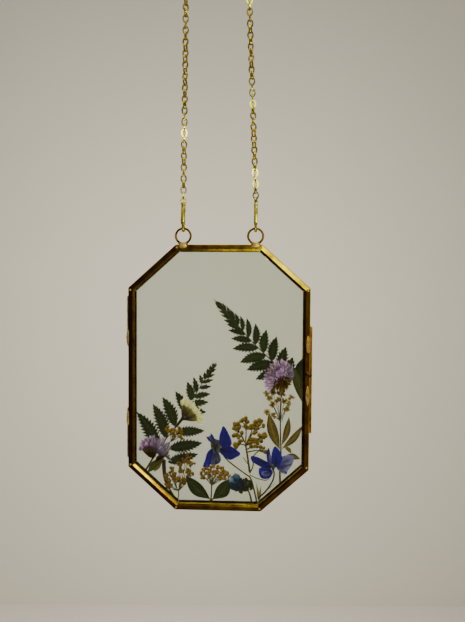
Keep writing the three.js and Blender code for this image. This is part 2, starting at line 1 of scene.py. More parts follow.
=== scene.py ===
# %% [markdown]
# # A hanging frame of pressed flowers
#
# Two eight-sided leaves of folded brass hold two panes of glass, and dried plants lie flat between
# the panes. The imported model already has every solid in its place, in metres, so this lesson starts
# by loading it. The brass bars and the glass keep their solids and get finishes. The plants, the
# chain, the clasps and the rings get finer meshes that stand in for their plain solids.

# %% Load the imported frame
import math
import random

import bmesh
import bpy
from mathutils import Matrix, Vector, noise


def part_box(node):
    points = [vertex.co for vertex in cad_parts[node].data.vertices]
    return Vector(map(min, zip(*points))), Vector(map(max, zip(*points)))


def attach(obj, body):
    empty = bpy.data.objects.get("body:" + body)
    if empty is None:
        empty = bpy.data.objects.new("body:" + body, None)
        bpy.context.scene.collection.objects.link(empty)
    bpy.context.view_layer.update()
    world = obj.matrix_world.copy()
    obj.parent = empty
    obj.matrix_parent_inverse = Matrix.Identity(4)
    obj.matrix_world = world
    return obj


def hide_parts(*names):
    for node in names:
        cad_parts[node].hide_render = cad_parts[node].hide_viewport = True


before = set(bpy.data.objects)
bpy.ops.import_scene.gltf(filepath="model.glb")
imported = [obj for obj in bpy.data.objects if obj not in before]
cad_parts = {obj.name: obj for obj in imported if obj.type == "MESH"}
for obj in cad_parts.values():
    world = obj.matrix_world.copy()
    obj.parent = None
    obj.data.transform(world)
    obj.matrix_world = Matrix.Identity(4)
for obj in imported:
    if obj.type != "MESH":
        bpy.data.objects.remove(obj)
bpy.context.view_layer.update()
MM = 0.001

# %% [markdown]
# ## One measure for everything
#
# The plants are easiest to place in millimetres from the middle of the glass, seen from the front:
# x to the right, z up, and y for the depth between the panes. The middle is read from the panes
# themselves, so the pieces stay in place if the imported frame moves.

# %% Middle of the glass
front_low, front_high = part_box("front_glass")
back_low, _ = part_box("back_glass")
MIDDLE = Vector((
    (front_low.x + front_high.x) / 2,
    (front_high.y + back_low.y) / 2,
    (front_low.z + front_high.z) / 2,
))


def spot(x, y, z):
    """A place in metres in the row frame, from millimetres round the middle of the glass."""
    return MIDDLE + Vector((x, y, z)) * MM


print("middle of the glass", [round(v * 1000, 2) for v in MIDDLE])

# %% [markdown]
# ## The camera
#
# The eye is 263 mm in front of the glass, a little right of its middle and above it, and looks very
# slightly left and down. Its three directions are built by hand from yaw, pitch and roll, because
# that keeps the lens free of any shift.

# %% Camera
EYE = (17.9, -263.2, 46.3)
YAW, PITCH, ROLL = (math.radians(d) for d in (-2.24, 1.8, -0.36))
FOCAL_PIXELS, PICTURE_WIDTH = 467.0, 465.0


def place_camera():
    forward = Vector((math.sin(YAW) * math.cos(PITCH), math.cos(YAW) * math.cos(PITCH), -math.sin(PITCH)))
    level_right = Vector((math.cos(YAW), -math.sin(YAW), 0.0))
    level_down = forward.cross(level_right)
    right = math.cos(ROLL) * level_right + math.sin(ROLL) * level_down
    down = -math.sin(ROLL) * level_right + math.cos(ROLL) * level_down
    data = bpy.data.cameras.new("camera")
    data.sensor_fit = "HORIZONTAL"
    data.sensor_width = 36.0
    data.lens = data.sensor_width * FOCAL_PIXELS / PICTURE_WIDTH
    data.clip_start = 0.01
    camera = bpy.data.objects.new("camera", data)
    turn = Matrix((right, -down, -forward)).transposed().to_4x4()
    camera.matrix_world = Matrix.Translation(spot(*EYE)) @ turn
    bpy.context.scene.collection.objects.link(camera)
    bpy.context.scene.camera = camera
    return data


print("lens", round(place_camera().lens, 2), "mm")

# %% [markdown]
# ## Helpers for node trees
#
# Materials and Geometry Nodes trees are long when every node takes three lines. One helper makes a
# node, sets its options and fills or links its inputs. Colours are written as they look on screen and
# turned into the linear values that shaders expect. Every metal and plant material below is a group's
# colour and relief on one shader, so that wiring is a helper too.

# %% Node helpers


def paint(code):
    """A screen colour such as '#c8a040' as linear red, green, blue and alpha."""
    values = [int(code[i:i + 2], 16) / 255 for i in (1, 3, 5)]
    return (*[v / 12.92 if v < 0.04045 else ((v + 0.055) / 1.055) ** 2.4 for v in values], 1.0)


def node(tree, kind, inputs=None, **options):
    """A new node, its options set and its inputs filled with values or linked to sockets."""
    made = tree.nodes.new(kind)
    for key, value in options.items():
        setattr(made, key, value)
    for key, value in (inputs or {}).items():
        if isinstance(value, bpy.types.NodeSocket):
            tree.links.new(value, made.inputs[key])
        else:
            made.inputs[key].default_value = value
    return made


def colour_mix(tree, factor, a, b, blend="MIX"):
    mix = node(tree, "ShaderNodeMix", {0: factor, 6: a, 7: b}, data_type="RGBA", blend_type=blend)
    return mix.outputs[2]


def math_node(tree, operation, a, b=0.0, c=0.0):
    return node(tree, "ShaderNodeMath", {0: a, 1: b, 2: c}, operation=operation).outputs[0]


def remap(tree, value, low, high, to_low=0.0, to_high=1.0):
    inputs = {"Value": value, "From Min": low, "From Max": high, "To Min": to_low, "To Max": to_high}
    return node(tree, "ShaderNodeMapRange", inputs, clamp=True).outputs[0]


def new_group(name, inputs, outputs):
    """A shader node group with named sockets: each is (name, kind, first value)."""
    tree = bpy.data.node_groups.new(name, "ShaderNodeTree")
    for title, kind, value in inputs:
        tree.interface.new_socket(title, in_out="INPUT", socket_type=kind).default_value = value
    for title, kind in outputs:
        tree.interface.new_socket(title, in_out="OUTPUT", socket_type=kind)
    return tree, tree.nodes.new("NodeGroupInput").outputs, tree.nodes.new("NodeGroupOutput").inputs


def new_material(name):
    material = bpy.data.materials.new(name)
    material.use_nodes = True
    tree = material.node_tree
    return material, tree, tree.nodes["Principled BSDF"]


def group_finish(name, group, values, bump):
    """A material that takes its colour and its fine relief from a node group."""
    material, tree, shader = new_material(name)
    look = node(tree, "ShaderNodeGroup", node_tree=group)
    for key, value in values.items():
        look.inputs[key].default_value = paint(value) if isinstance(value, str) else value
    tree.links.new(look.outputs["Color"], shader.inputs["Base Color"])
    rise = node(tree, "ShaderNodeBump", {"Strength": bump, "Distance": BUMP_DEPTH,
                                         "Height": look.outputs["Height"]})
    tree.links.new(rise.outputs["Normal"], shader.inputs["Normal"])
    return material, look, shader


COLOUR, NUMBER, WHOLE = "NodeSocketColor", "NodeSocketFloat", "NodeSocketInt"
BUMP_DEPTH = 0.1 * MM
print("node helpers ready")

# %% [markdown]
# ## Aged brass
#
# The bars are folded from thin sheet and have gone brown in places. Polished brass alone would look
# like toy gold, so one node group mixes a clean colour with a tarnished one in the patches of a broad
# noise, and a fine noise gives the grain. A picture of worn brass would need unfolding over every bar,
# while noise in the object's own space fits any shape. The same group serves the bars, the hinges, the
# rings, the chain and the solder, with other colours and amounts.

# %% Brass group
PATCH_CONTRAST = 2.4
GRAIN_SCALE, GRAIN_ROUGHNESS, ROUGHEST = 2600.0, 0.12, 0.62


def brass_group():
    tree, given, result = new_group(
        "aged brass",
        [("Clean", COLOUR, (0.8, 0.6, 0.2, 1)), ("Tarnish", COLOUR, (0.3, 0.16, 0.05, 1)),
         ("Tarnish Amount", NUMBER, 0.5), ("Patch Scale", NUMBER, 160.0), ("Smoothness", NUMBER, 0.5)],
        [("Color", COLOUR), ("Roughness", NUMBER), ("Height", NUMBER)],
    )
    place = node(tree, "ShaderNodeTexCoord").outputs["Object"]
    patch = node(tree, "ShaderNodeTexNoise", {"Vector": place, "Scale": given["Patch Scale"], "Detail": 4.0})
    grain = node(tree, "ShaderNodeTexNoise", {"Vector": place, "Scale": GRAIN_SCALE, "Detail": 2.0})
    centred = math_node(tree, "SUBTRACT", patch.outputs["Fac"], 0.5)
    spread = math_node(tree, "MULTIPLY_ADD", centred, PATCH_CONTRAST, given["Tarnish Amount"])
    colour = colour_mix(tree, remap(tree, spread, 0.0, 1.0), given["Clean"], given["Tarnish"])
    tree.links.new(colour, result["Color"])
    rough = math_node(tree, "SUBTRACT", ROUGHEST, math_node(tree, "MULTIPLY", given["Smoothness"], 0.5))
    worn = math_node(tree, "MULTIPLY_ADD", grain.outputs["Fac"], GRAIN_ROUGHNESS, rough)
    tree.links.new(worn, result["Roughness"])
    tree.links.new(grain.outputs["Fac"], result["Height"])
    return tree


BRASS_GROUP = brass_group()


def brass(name, clean, tarnish, amount, smoothness, patch=160.0, bump=0.04, metal=1.0):
    values = {"Clean": clean, "Tarnish": tarnish, "Tarnish Amount": amount, "Patch Scale": patch,
              "Smoothness": smoothness}
    material, look, shader = group_finish(name, BRASS_GROUP, values, bump)
    material.node_tree.links.new(look.outputs["Roughness"], shader.inputs["Roughness"])
    shader.inputs["Metallic"].default_value = metal
    return material


BAR_BRASS = brass("bar brass", "#e8c010", "#8c5c10", 0.42, 1.05)
FITTING_BRASS = brass("fitting brass", "#d8a440", "#84541c", 0.5, 0.75, patch=300.0, metal=0.98)
CHAIN_BRASS = brass("chain brass", "#fff070", "#eac850", 0.35, 1.0, patch=500.0, metal=0.98)
SOLDER = brass("soldered brass", "#e8c47c", "#94703c", 0.4, 0.8, patch=420.0, bump=0.1, metal=0.95)
RING_BRASS = brass("ring brass", "#b88428", "#54340e", 0.5, 0.9, patch=500.0)
print("finishes so far", len(bpy.data.materials))

# %% [markdown]
# ## Clear glass
#
# The panes are plain clear glass, so the shader is a real refracting glass with a breath of green. Light
# that goes through such glass on its way to the plants is very noisy to trace, so for shadow rays alone
# the panes turn transparent.

# %% Glass


def pane_glass():
    material, tree, shader = new_material("pane glass")
    shader.inputs["Base Color"].default_value = paint("#ebf0ea")
    shader.inputs["Roughness"].default_value = 0.0
    shader.inputs["IOR"].default_value = 1.45
    shader.inputs["Transmission Weight"].default_value = 1.0
    clear = node(tree, "ShaderNodeBsdfTransparent", {"Color": paint("#f8fbf6")})
    path = node(tree, "ShaderNodeLightPath")
    mix = node(tree, "ShaderNodeMixShader", {0: path.outputs["Is Shadow Ray"], 1: shader.outputs[0],
                                             2: clear.outputs[0]})
    tree.links.new(mix.outputs[0], tree.nodes["Material Output"].inputs["Surface"])
    return material


PANE_GLASS = pane_glass()
print("finish", PANE_GLASS.name)

# %% [markdown]
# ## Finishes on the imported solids
#
# The bars are folded from sheet with crisp edges, and the solids have those edges already, so they
# stay and only change their finish. The knuckles, pins and latch strip are small plain fittings and
# stay too. The latch's knob gets a rounder ball further on.

# %% Dress the solids


def dress(name, material):
    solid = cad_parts[name]
    solid.data.materials.clear()
    solid.data.materials.append(material)


FRONT = "front leaf"
BACK = "back leaf"
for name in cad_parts:
    if name.endswith("_bar"):
        dress(name, BAR_BRASS)
    elif name.endswith("_glass"):
        dress(name, PANE_GLASS)
    elif "hinge" in name or name.startswith("latch"):
        dress(name, FITTING_BRASS)
print("solids", len(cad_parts))

# %% [markdown]
# ## Meshes from lists of places
#
# Every piece that is drawn here face by face ends in one helper. It takes places in metres, makes the
# object at the origin, turns all its faces outward, and rides it on its body.

# %% Mesh helper


def make_piece(name, places, faces, materials, body, looks=None, uvs=None, tints=None, smooth=True):
    mesh = bpy.data.meshes.new(name)
    mesh.from_pydata([tuple(p) for p in places], [], faces)
    for material in materials:
        mesh.materials.append(material)
    if looks is not None:
        mesh.polygons.foreach_set("material_index", looks)
    if uvs is not None:
        layer = mesh.uv_layers.new(name="UVMap")
        for loop in mesh.loops:
            layer.data[loop.index].uv = uvs[loop.vertex_index]
    if tints is not None:
        mesh.attributes.new("tint", "FLOAT", "POINT").data.foreach_set("value", tints)
    work = bmesh.new()
    work.from_mesh(mesh)
    bmesh.ops.recalc_face_normals(work, faces=work.faces)
    work.to_mesh(mesh)
    work.free()
    mesh.polygons.foreach_set("use_smooth", [smooth] * len(mesh.polygons))
    piece = bpy.data.objects.new(name, mesh)
    bpy.context.scene.collection.objects.link(piece)
    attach(piece, body)
    return piece


def smooth_line(points, steps=8, closed=False):
    """A smooth curve through points of any dimension, with this many steps between two of them."""
    count = len(points)
    places = [Vector(p) for p in points]
    line = []
    for i in range(count if closed else count - 1):
        if closed:
            a, b, c, d = (places[(i + k) % count] for k in (-1, 0, 1, 2))
        else:
            b, c = places[i], places[i + 1]
            a = places[i - 1] if i else b + (b - c)
            d = places[i + 2] if i + 2 < count else c + (c - b)
        for step in range(steps):
            t = step / steps
            line.append(0.5 * (2 * b + (c - a) * t + (2 * a - 5 * b + 4 * c - d) * t * t
                               + (3 * b - a - 3 * c + d) * t ** 3))
    if not closed:
        line.append(places[-1])
    return line


# %% [markdown]
# ## The chain
#
# A light cable chain runs up from one clasp, over its peg and down to the other. Its oval links stand
# face on and edge on by turns, each just touching the next, and the whole chain sways a little round
# its own line. Drawing ninety links by hand would be tedious, and an array modifier would slide them
# off the curve, so Geometry Nodes set one link at every step of the route, lined up with it, and turn
# every second one by a quarter. The wire is filed flat, so it has four sides and stays flat shaded,
# and a few links flash where they happen to face a lamp. The route's points are those of the packed
# chain.

# %% Chain route
RING_X, RING_Y, RING_Z, RING_RADIUS = 20.3, -0.9, 80.0, 4.2
SIDES = (("left", -RING_X), ("right", RING_X))
EYE_HEIGHT = RING_Z + RING_RADIUS + 13.4
CHAIN_FOOT = EYE_HEIGHT + 1.8
CROWN_X, ARCH_RADIUS, ARCH_Z = -1.8, 17.3, 218.0
arch = [(CROWN_X + ARCH_RADIUS * math.cos(math.pi * (1 - k / 8)), RING_Y,
         ARCH_Z + ARCH_RADIUS * math.sin(math.pi * (1 - k / 8))) for k in range(9)]
strand_points = [(-RING_X, RING_Y, CHAIN_FOOT), (-19.9, RING_Y, 140), (-19.4, RING_Y, 180), *arch,
                 (17, RING_Y, 180), (18.7, RING_Y, 140), (RING_X, RING_Y, CHAIN_FOOT)]
route = [spot(*p) for p in smooth_line(strand_points, 10)]
CHAIN_LENGTH = sum((b - a).length for a, b in zip(route, route[1:]))
print("chain", round(CHAIN_LENGTH * 1000, 1), "mm")

# %% Link tree
LINK_LENGTH, LINK_WIDTH, LINK_WIRE = 4.75, 3.7, 0.8
LINK_PITCH = LINK_LENGTH - 2 * LINK_WIRE
SWAY, SWAY_PER_LINK = 0.5, 0.21
WIRE_HALF_DIAGONAL, WIRE_FLATNESS = 0.6, 1.2


def geometry_tree(name, inputs):
    """A Geometry Nodes tree with named inputs, and a last one for the material."""
    tree = bpy.data.node_groups.new(name, "GeometryNodeTree")
    tree.interface.new_socket("Geometry", in_out="INPUT", socket_type="NodeSocketGeometry")
    for title, kind, value in inputs:
        tree.interface.new_socket(title, in_out="INPUT", socket_type=kind).default_value = value
    tree.interface.new_socket("Material", in_out="INPUT", socket_type="NodeSocketMaterial")
    tree.interface.new_socket("Geometry", in_out="OUTPUT", socket_type="NodeSocketGeometry")
    return tree, tree.nodes.new("NodeGroupInput").outputs, tree.nodes.new("NodeGroupOutput").inputs


def link_tree():
    tree, given, result = geometry_tree("chain links", [("Links", WHOLE, 94),
                                                        ("Link Length", NUMBER, LINK_LENGTH * MM),
                                                        ("Link Width", NUMBER, LINK_WIDTH * MM),
                                                        ("Wire", NUMBER, LINK_WIRE * MM),
                                                        ("Twist", NUMBER, 0.15), ("Tilt", NUMBER, 0.16),
                                                        ("Twist Seed", WHOLE, 3), ("Tilt Seed", WHOLE, 8)])
    points = node(tree, "GeometryNodeCurveToPoints", {"Curve": given["Geometry"], "Count": given["Links"]},
                  mode="COUNT")
    upright = node(tree, "FunctionNodeAlignRotationToVector", {"Vector": points.outputs["Tangent"]},
                   axis="Z", pivot_axis="Y")
    index = node(tree, "GeometryNodeInputIndex").outputs[0]
    quarter = math_node(tree, "MULTIPLY", math_node(tree, "MODULO", index, 2.0), math.pi / 2)
    least = math_node(tree, "MULTIPLY", given["Twist"], -1.0)
    wobble = node(tree, "FunctionNodeRandomValue", {2: least, 3: given["Twist"], "Seed": given["Twist Seed"]},
                  data_type="FLOAT").outputs[1]
    sway = math_node(tree, "SINE", math_node(tree, "MULTIPLY", index, SWAY_PER_LINK))
    slow = math_node(tree, "MULTIPLY", sway, SWAY)
    angle = math_node(tree, "ADD", math_node(tree, "ADD", quarter, wobble), slow)
    turn = node(tree, "FunctionNodeAxisAngleToRotation", {"Axis": (0, 0, 1), "Angle": angle})
    turned = node(tree, "FunctionNodeRotateRotation",
                  {"Rotation": upright.outputs[0], "Rotate By": turn.outputs[0]}, rotation_space="LOCAL")
    lean = node(tree, "FunctionNodeRandomValue",
                {2: math_node(tree, "MULTIPLY", given["Tilt"], -1.0), 3: given["Tilt"],
                 "Seed": given["Tilt Seed"]},
                data_type="FLOAT").outputs[1]
    tilt = node(tree, "FunctionNodeAxisAngleToRotation", {"Axis": (1, 0, 0), "Angle": lean})
    facing = node(tree, "FunctionNodeRotateRotation",
                  {"Rotation": turned.outputs[0], "Rotate By": tilt.outputs[0]}, rotation_space="LOCAL")
    oval = node(tree, "GeometryNodeCurvePrimitiveCircle", {"Resolution": 20, "Radius": 1.0})
    half_x, half_z = (math_node(tree, "MULTIPLY", math_node(tree, "SUBTRACT", given[side], given["Wire"]),
                                0.5) for side in ("Link Width", "Link Length"))
    size = node(tree, "ShaderNodeCombineXYZ", {"X": half_x, "Y": half_z, "Z": 1.0})
    shaped = node(tree, "GeometryNodeTransform", {"Geometry": oval.outputs[0], "Scale": size.outputs[0],
                                                  "Rotation": (math.pi / 2, 0, 0)})
    wire = node(tree, "GeometryNodeCurvePrimitiveCircle",
                {"Resolution": 4, "Radius": math_node(tree, "MULTIPLY", given["Wire"], WIRE_HALF_DIAGONAL)})
    square = node(tree, "GeometryNodeTransform", {"Geometry": wire.outputs[0],
                                                  "Rotation": (0.0, 0.0, math.pi / 4)})
    flat_wire = node(tree, "GeometryNodeTransform", {"Geometry": square.outputs[0],
                                                     "Scale": (1.0, WIRE_FLATNESS, 1.0)})
    link = node(tree, "GeometryNodeCurveToMesh", {"Curve": shaped.outputs[0],
                                                  "Profile Curve": flat_wire.outputs[0]})
    placed = node(tree, "GeometryNodeInstanceOnPoints",
                  {"Points": points.outputs["Points"], "Instance": link.outputs[0],
                   "Rotation": facing.outputs[0]})
    real = node(tree, "GeometryNodeRealizeInstances", {"Geometry": placed.outputs[0]})
    done = node(tree, "GeometryNodeSetMaterial", {"Geometry": real.outputs[0],
                                                  "Material": given["Material"]})
    tree.links.new(done.outputs[0], result[0])
    return tree


def grow(name, source, tree, values, body, smooth=True):
    """Runs a Geometry Nodes tree on a source object and keeps the result as a plain mesh piece."""
    holder = bpy.data.objects.new(name + " source", source)
    bpy.context.scene.collection.objects.link(holder)
    modifier = holder.modifiers.new("grow", "NODES")
    modifier.node_group = tree
    for item in tree.interface.items_tree:
        if item.in_out == "INPUT" and item.name in values:
            modifier[item.identifier] = values[item.name]
    shown = bpy.context.evaluated_depsgraph_get()
    mesh = bpy.data.meshes.new_from_object(holder.evaluated_get(shown))
    mesh.name = name
    holder.modifiers.clear()
    bpy.data.objects.remove(holder)
    mesh.polygons.foreach_set("use_smooth", [smooth] * len(mesh.polygons))
    piece = bpy.data.objects.new(name, mesh)
    bpy.context.scene.collection.objects.link(piece)
    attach(piece, body)
    print(name, len(mesh.polygons), "faces")
    return piece


# %% Chain links along the route
curve = bpy.data.curves.new("chain line", "CURVE")
curve.dimensions = "3D"
line = curve.splines.new("POLY")
line.points.add(len(route) - 1)
for point, at in zip(line.points, route):
    point.co = (*at, 1.0)
link_count = round(CHAIN_LENGTH / (LINK_PITCH * MM)) + 1
chain = grow("cable_chain", curve, link_tree(), {"Links": link_count, "Material": CHAIN_BRASS}, "hanger",
             smooth=False)
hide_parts("chain")
print("links", link_count)

# %% [markdown]
# ## Dried tissue
#
# Pressed leaves and petals keep their veins, fade unevenly and speckle with age. Two node groups paint
# them. Both read the piece's own UV map, in which u runs from the base of a blade to its tip and v runs
# across it, so veins and streaks follow every blade however it lies. A tint that each blade carries
# sets it apart from its neighbours; on the grains of the bud heads it also carries painted shade. A
# leaf is darker towards its rim than in its middle.

# %% Leaf and petal groups


def uv_parts(tree):
    """How far along a blade a point lies, and how far across it, both from 0 to 1."""
    uv = node(tree, "ShaderNodeUVMap", uv_map="UVMap").outputs[0]
    parts = node(tree, "ShaderNodeSeparateXYZ", {0: uv})
    return parts.outputs[0], parts.outputs[1]


def leaf_group():
    tree, given, result = new_group(
        "dried leaf",
        [("Dark", COLOUR, (0.05, 0.07, 0.01, 1)), ("Light", COLOUR, (0.1, 0.13, 0.03, 1)),
         ("Vein", COLOUR, (0.2, 0.2, 0.08, 1)), ("Vein Amount", NUMBER, 0.5), ("Vein Count", NUMBER, 9.0),
         ("Tint Weight", NUMBER, 0.6)],
        [("Color", COLOUR), ("Height", NUMBER)],
    )
    along, across = uv_parts(tree)
    place = node(tree, "ShaderNodeTexCoord").outputs["Object"]
    # For bud heads this tint also carries painted shade from above.
    tint = node(tree, "ShaderNodeAttribute", attribute_name="tint").outputs["Fac"]
    mottle = node(tree, "ShaderNodeTexNoise", {"Vector": place, "Scale": 700.0, "Detail": 4.0}).outputs["Fac"]
    fleck = math_node(tree, "MULTIPLY", remap(tree, mottle, 0.3, 0.7),
                      math_node(tree, "SUBTRACT", 1.2, given["Tint Weight"]))
    mixed = math_node(tree, "ADD", math_node(tree, "MULTIPLY", tint, given["Tint Weight"]), fleck)
    base = colour_mix(tree, mixed, given["Dark"], given["Light"])
    side = math_node(tree, "ABSOLUTE", math_node(tree, "MULTIPLY_ADD", across, 2.0, -1.0))
    midrib = remap(tree, side, 0.05, 0.16, 1.0, 0.0)
    slanted = math_node(tree, "SUBTRACT", math_node(tree, "MULTIPLY", along, given["Vein Count"]),
                        math_node(tree, "MULTIPLY", side, 1.3))
    wave = math_node(tree, "ABSOLUTE", math_node(tree, "SUBTRACT", math_node(tree, "FRACT", slanted), 0.5))
    veins = remap(tree, wave, 0.38, 0.5, 0.0, 0.55)
    lines = math_node(tree, "MAXIMUM", midrib, veins)
    shown = math_node(tree, "MULTIPLY", lines, given["Vein Amount"])
    veined = colour_mix(tree, shown, base, given["Vein"])
    # The leaf's colour gets darker towards its rim.
    dried = math_node(tree, "MULTIPLY", remap(tree, side, 0.55, 1.0),
                      math_node(tree, "MULTIPLY", given["Vein Amount"], 1.8))
    rim = colour_mix(tree, 1.0, given["Dark"], (0.35, 0.35, 0.35, 1.0), "MULTIPLY")
    tree.links.new(colour_mix(tree, dried, veined, rim), result["Color"])
    tree.links.new(lines, result["Height"])
    return tree


def petal_group():
    tree, given, result = new_group(
        "dried petal",
        [("Heart", COLOUR, (0.1, 0.1, 0.1, 1)), ("Body", COLOUR, (0.3, 0.3, 0.5, 1)),
         ("Rim", COLOUR, (0.4, 0.4, 0.6, 1)), ("Streak", COLOUR, (0.1, 0.1, 0.3, 1)),
         ("Streak Amount", NUMBER, 0.5), ("Heart Size", NUMBER, 0.3), ("Tint Spread", NUMBER, 0.5)],
        [("Color", COLOUR), ("Height", NUMBER)],
    )
    along, across = uv_parts(tree)
    place = node(tree, "ShaderNodeTexCoord").outputs["Object"]
    tint = node(tree, "ShaderNodeAttribute", attribute_name="tint").outputs["Fac"]
    fibre_place = node(tree, "ShaderNodeCombineXYZ", {0: math_node(tree, "MULTIPLY", along, 1.6),
                                                      1: math_node(tree, "MULTIPLY", across, 26.0),
                                                      2: math_node(tree, "MULTIPLY", tint, 9.0)}).outputs[0]
    fibre = node(tree, "ShaderNodeTexNoise", {"Vector": fibre_place, "Scale": 1.0,
                                              "Detail": 3.0}).outputs["Fac"]
    blotch = node(tree, "ShaderNodeTexNoise", {"Vector": place, "Scale": 330.0, "Detail": 4.0}).outputs["Fac"]
    reach = math_node(tree, "ADD", along, math_node(tree, "MULTIPLY",
                                                    math_node(tree, "SUBTRACT", blotch, 0.5), 0.7))
    to_rim = colour_mix(tree, remap(tree, reach, 0.45, 1.0), given["Body"], given["Rim"])
    heart = remap(tree, reach, 0.0, 1.0, 1.0, 0.0)
    heart_edge = math_node(tree, "SUBTRACT", heart, math_node(tree, "SUBTRACT", 1.0, given["Heart Size"]))
    with_heart = colour_mix(tree, remap(tree, heart_edge, -0.1, 0.12), to_rim, given["Heart"])
    streaks = math_node(tree, "MULTIPLY", remap(tree, fibre, 0.48, 0.62), given["Streak Amount"])
    streaked = colour_mix(tree, streaks, with_heart, given["Streak"])
    light = math_node(tree, "ADD", math_node(tree, "MULTIPLY", tint, given["Tint Spread"]),
                      math_node(tree, "SUBTRACT", 1.0, math_node(tree, "MULTIPLY", given["Tint Spread"],
                                                                 0.5)))
    grey = node(tree, "ShaderNodeCombineColor", {0: light, 1: light, 2: light}).outputs[0]
    tree.links.new(colour_mix(tree, 1.0, streaked, grey, "MULTIPLY"), result["Color"])
    tree.links.new(fibre, result["Height"])
    return tree


LEAF_GROUP, PETAL_GROUP = leaf_group(), petal_group()
TISSUE_SHEEN = 0.12
print("node groups", [group.name for group in (BRASS_GROUP, LEAF_GROUP, PETAL_GROUP)])


def tissue(name, group, values, roughness=0.75, bump=0.3):
    material, _, shader = group_finish(name, group, values, bump)
    shader.inputs["Roughness"].default_value = roughness
    shader.inputs["Specular IOR Level"].default_value = TISSUE_SHEEN
    return material


def leaf_look(name, dark, light, vein, amount=0.5, count=9.0, weight=0.6):
    return tissue(name, LEAF_GROUP, {"Dark": dark, "Light": light, "Vein": vein, "Vein Amount": amount,
                                     "Vein Count": count, "Tint Weight": weight})


# For bud heads the tint holds painted shade, so Dark is the shaded underside of a grain and Light its lit
# top.
def bud_look(name, dark, light):
    return leaf_look(name, dark, light, dark, 0.0, 9.0, 1.0)


def petal_look(name, heart, body, rim, streak, amount=0.5, size=0.3, spread=0.5):
    values = {"Heart": heart, "Body": body, "Rim": rim, "Streak": streak, "Streak Amount": amount,
              "Heart Size": size, "Tint Spread": spread}
    return tissue(name, PETAL_GROUP, values, 0.7, 0.4)


# %% Plant finishes
FERN = leaf_look("fern", "#070c00", "#1c2300", "#2e3209", 0.4)
SPRIG_LEAF = leaf_look("olive leaf", "#3e2d05", "#655118", "#847139", 0.5, 5.0)
LEAF_GREEN = leaf_look("dark green leaf", "#0d1100", "#232b00", "#3a400d", 0.5, 6.0)
LEAF_DULL = leaf_look("dull brown leaf", "#1c1903", "#3c390b", "#4b4918", 0.4, 5.0)
STRAW = petal_look("straw petal", "#2d1b06", "#775e2d", "#bda66f", "#261604", 0.8, 0.35, 1.1)
GRASS = leaf_look("grass", "#4c3e13", "#75622b", "#817240", 0.3, 2.0)
STEM_GREEN = leaf_look("green stem", "#201a00", "#3e350a", "#3e350a", 0.1)
STEM_BROWN = leaf_look("brown stem", "#150a00", "#342308", "#342308", 0.1)
BUD_YELLOW = bud_look("yellow buds", "#150800", "#85660b")
BUD_TAN = bud_look("tan buds", "#180a00", "#936927")
BUD_OCHRE = bud_look("ochre buds", "#170700", "#7e5d15")
BUD_GREEN = bud_look("green buds", "#080900", "#2c2b08")
CREAM = petal_look("cream petal", "#a39057", "#ddd398", "#faf2bf", "#8a793e", 0.7, 0.15, 0.4)
CREAM_CONE = petal_look("cream flower cone", "#0f0602", "#291a0c", "#6e652c", "#090202", 0.9, 0.3, 1.1)
BLUE = petal_look("larkspur blue", "#060021", "#0f0060", "#170080", "#040015", 0.8, 0.2, 0.7)
BLUE_PALE = petal_look("larkspur lavender", "#151244", "#37325d", "#645f93", "#110e3c", 0.9, 0.25, 0.8)
CALYX = petal_look("calyx", "#0b0501", "#150c02", "#423011", "#070301", 0.9, 0.3, 1.2)
LILAC = petal_look("lilac petal", "#3d1a45", "#734780", "#c9a4d0", "#2f103d", 0.9, 0.3, 1.2)
LILAC_BLUE = petal_look("bluish lilac petal", "#271d3d", "#4d3b5b", "#847690", "#1d1636", 0.9, 0.25, 1.1)
STAMEN = petal_look("dry florets", "#120800", "#312103", "#765420", "#0a0500", 0.9, 0.3, 1.2)
DUSTY = petal_look("dusty petal", "#1a1a22", "#393935", "#575754", "#0f0f22", 0.9, 0.3, 0.8)
SKY = petal_look("sky petal", "#151f46", "#3e5783", "#708fb0", "#151f46", 0.8, 0.35, 0.8)
SLATE = petal_look("slate petal", "#02030c", "#071023", "#15293f", "#02030c", 0.8, 0.3, 1.0)
print("finishes so far", len(bpy.data.materials))

# %% [markdown]
# ## Shapes that plants are made of
#
# A leaf, a petal and a stem are enough for nearly everything here. A leaf or petal is a grid of places
# from base to tip, given a thin front and back that meet at the rim, so that it is a closed skin. Teeth
# point to the tip. A wide petal that has its own outline is a fan of rings from its base. Each cutting
# collects its blades in millimetres and becomes one piece in its own layer between the panes.

# %% A cutting and its blades
LAYER_PITCH, MIDDLE_LAYER, THICKNESS = 0.3, 3, 0.12
dice = random.Random(7)


class Cutting:
    """One pressed specimen: closed blades and stems, in millimetres round the middle of the glass."""

    def __init__(self, layer):
        self.y = (layer - MIDDLE_LAYER) * LAYER_PITCH
        self.places, self.uvs, self.tints, self.faces, self.looks, self.materials = [], [], [], [], [], []

    def add(self, places, uvs, faces, material):
        start = len(self.places)
        if material not in self.materials:
            self.materials.append(material)
        look = self.materials.index(material)
        self.places += [spot(x, self.y + y, z) for x, y, z in places]
        self.uvs += uvs
        self.tints += [dice.random()] * len(places)
        self.faces += [tuple(start + i for i in face) for face in faces]
        self.looks += [look] * len(faces)

    def finish(self, name, node_name, slot):
        piece = make_piece(name, self.places, self.faces, self.materials, FRONT, self.looks, self.uvs,
                           self.tints)
        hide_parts(node_name)
        print(name, len(self.faces), "faces")


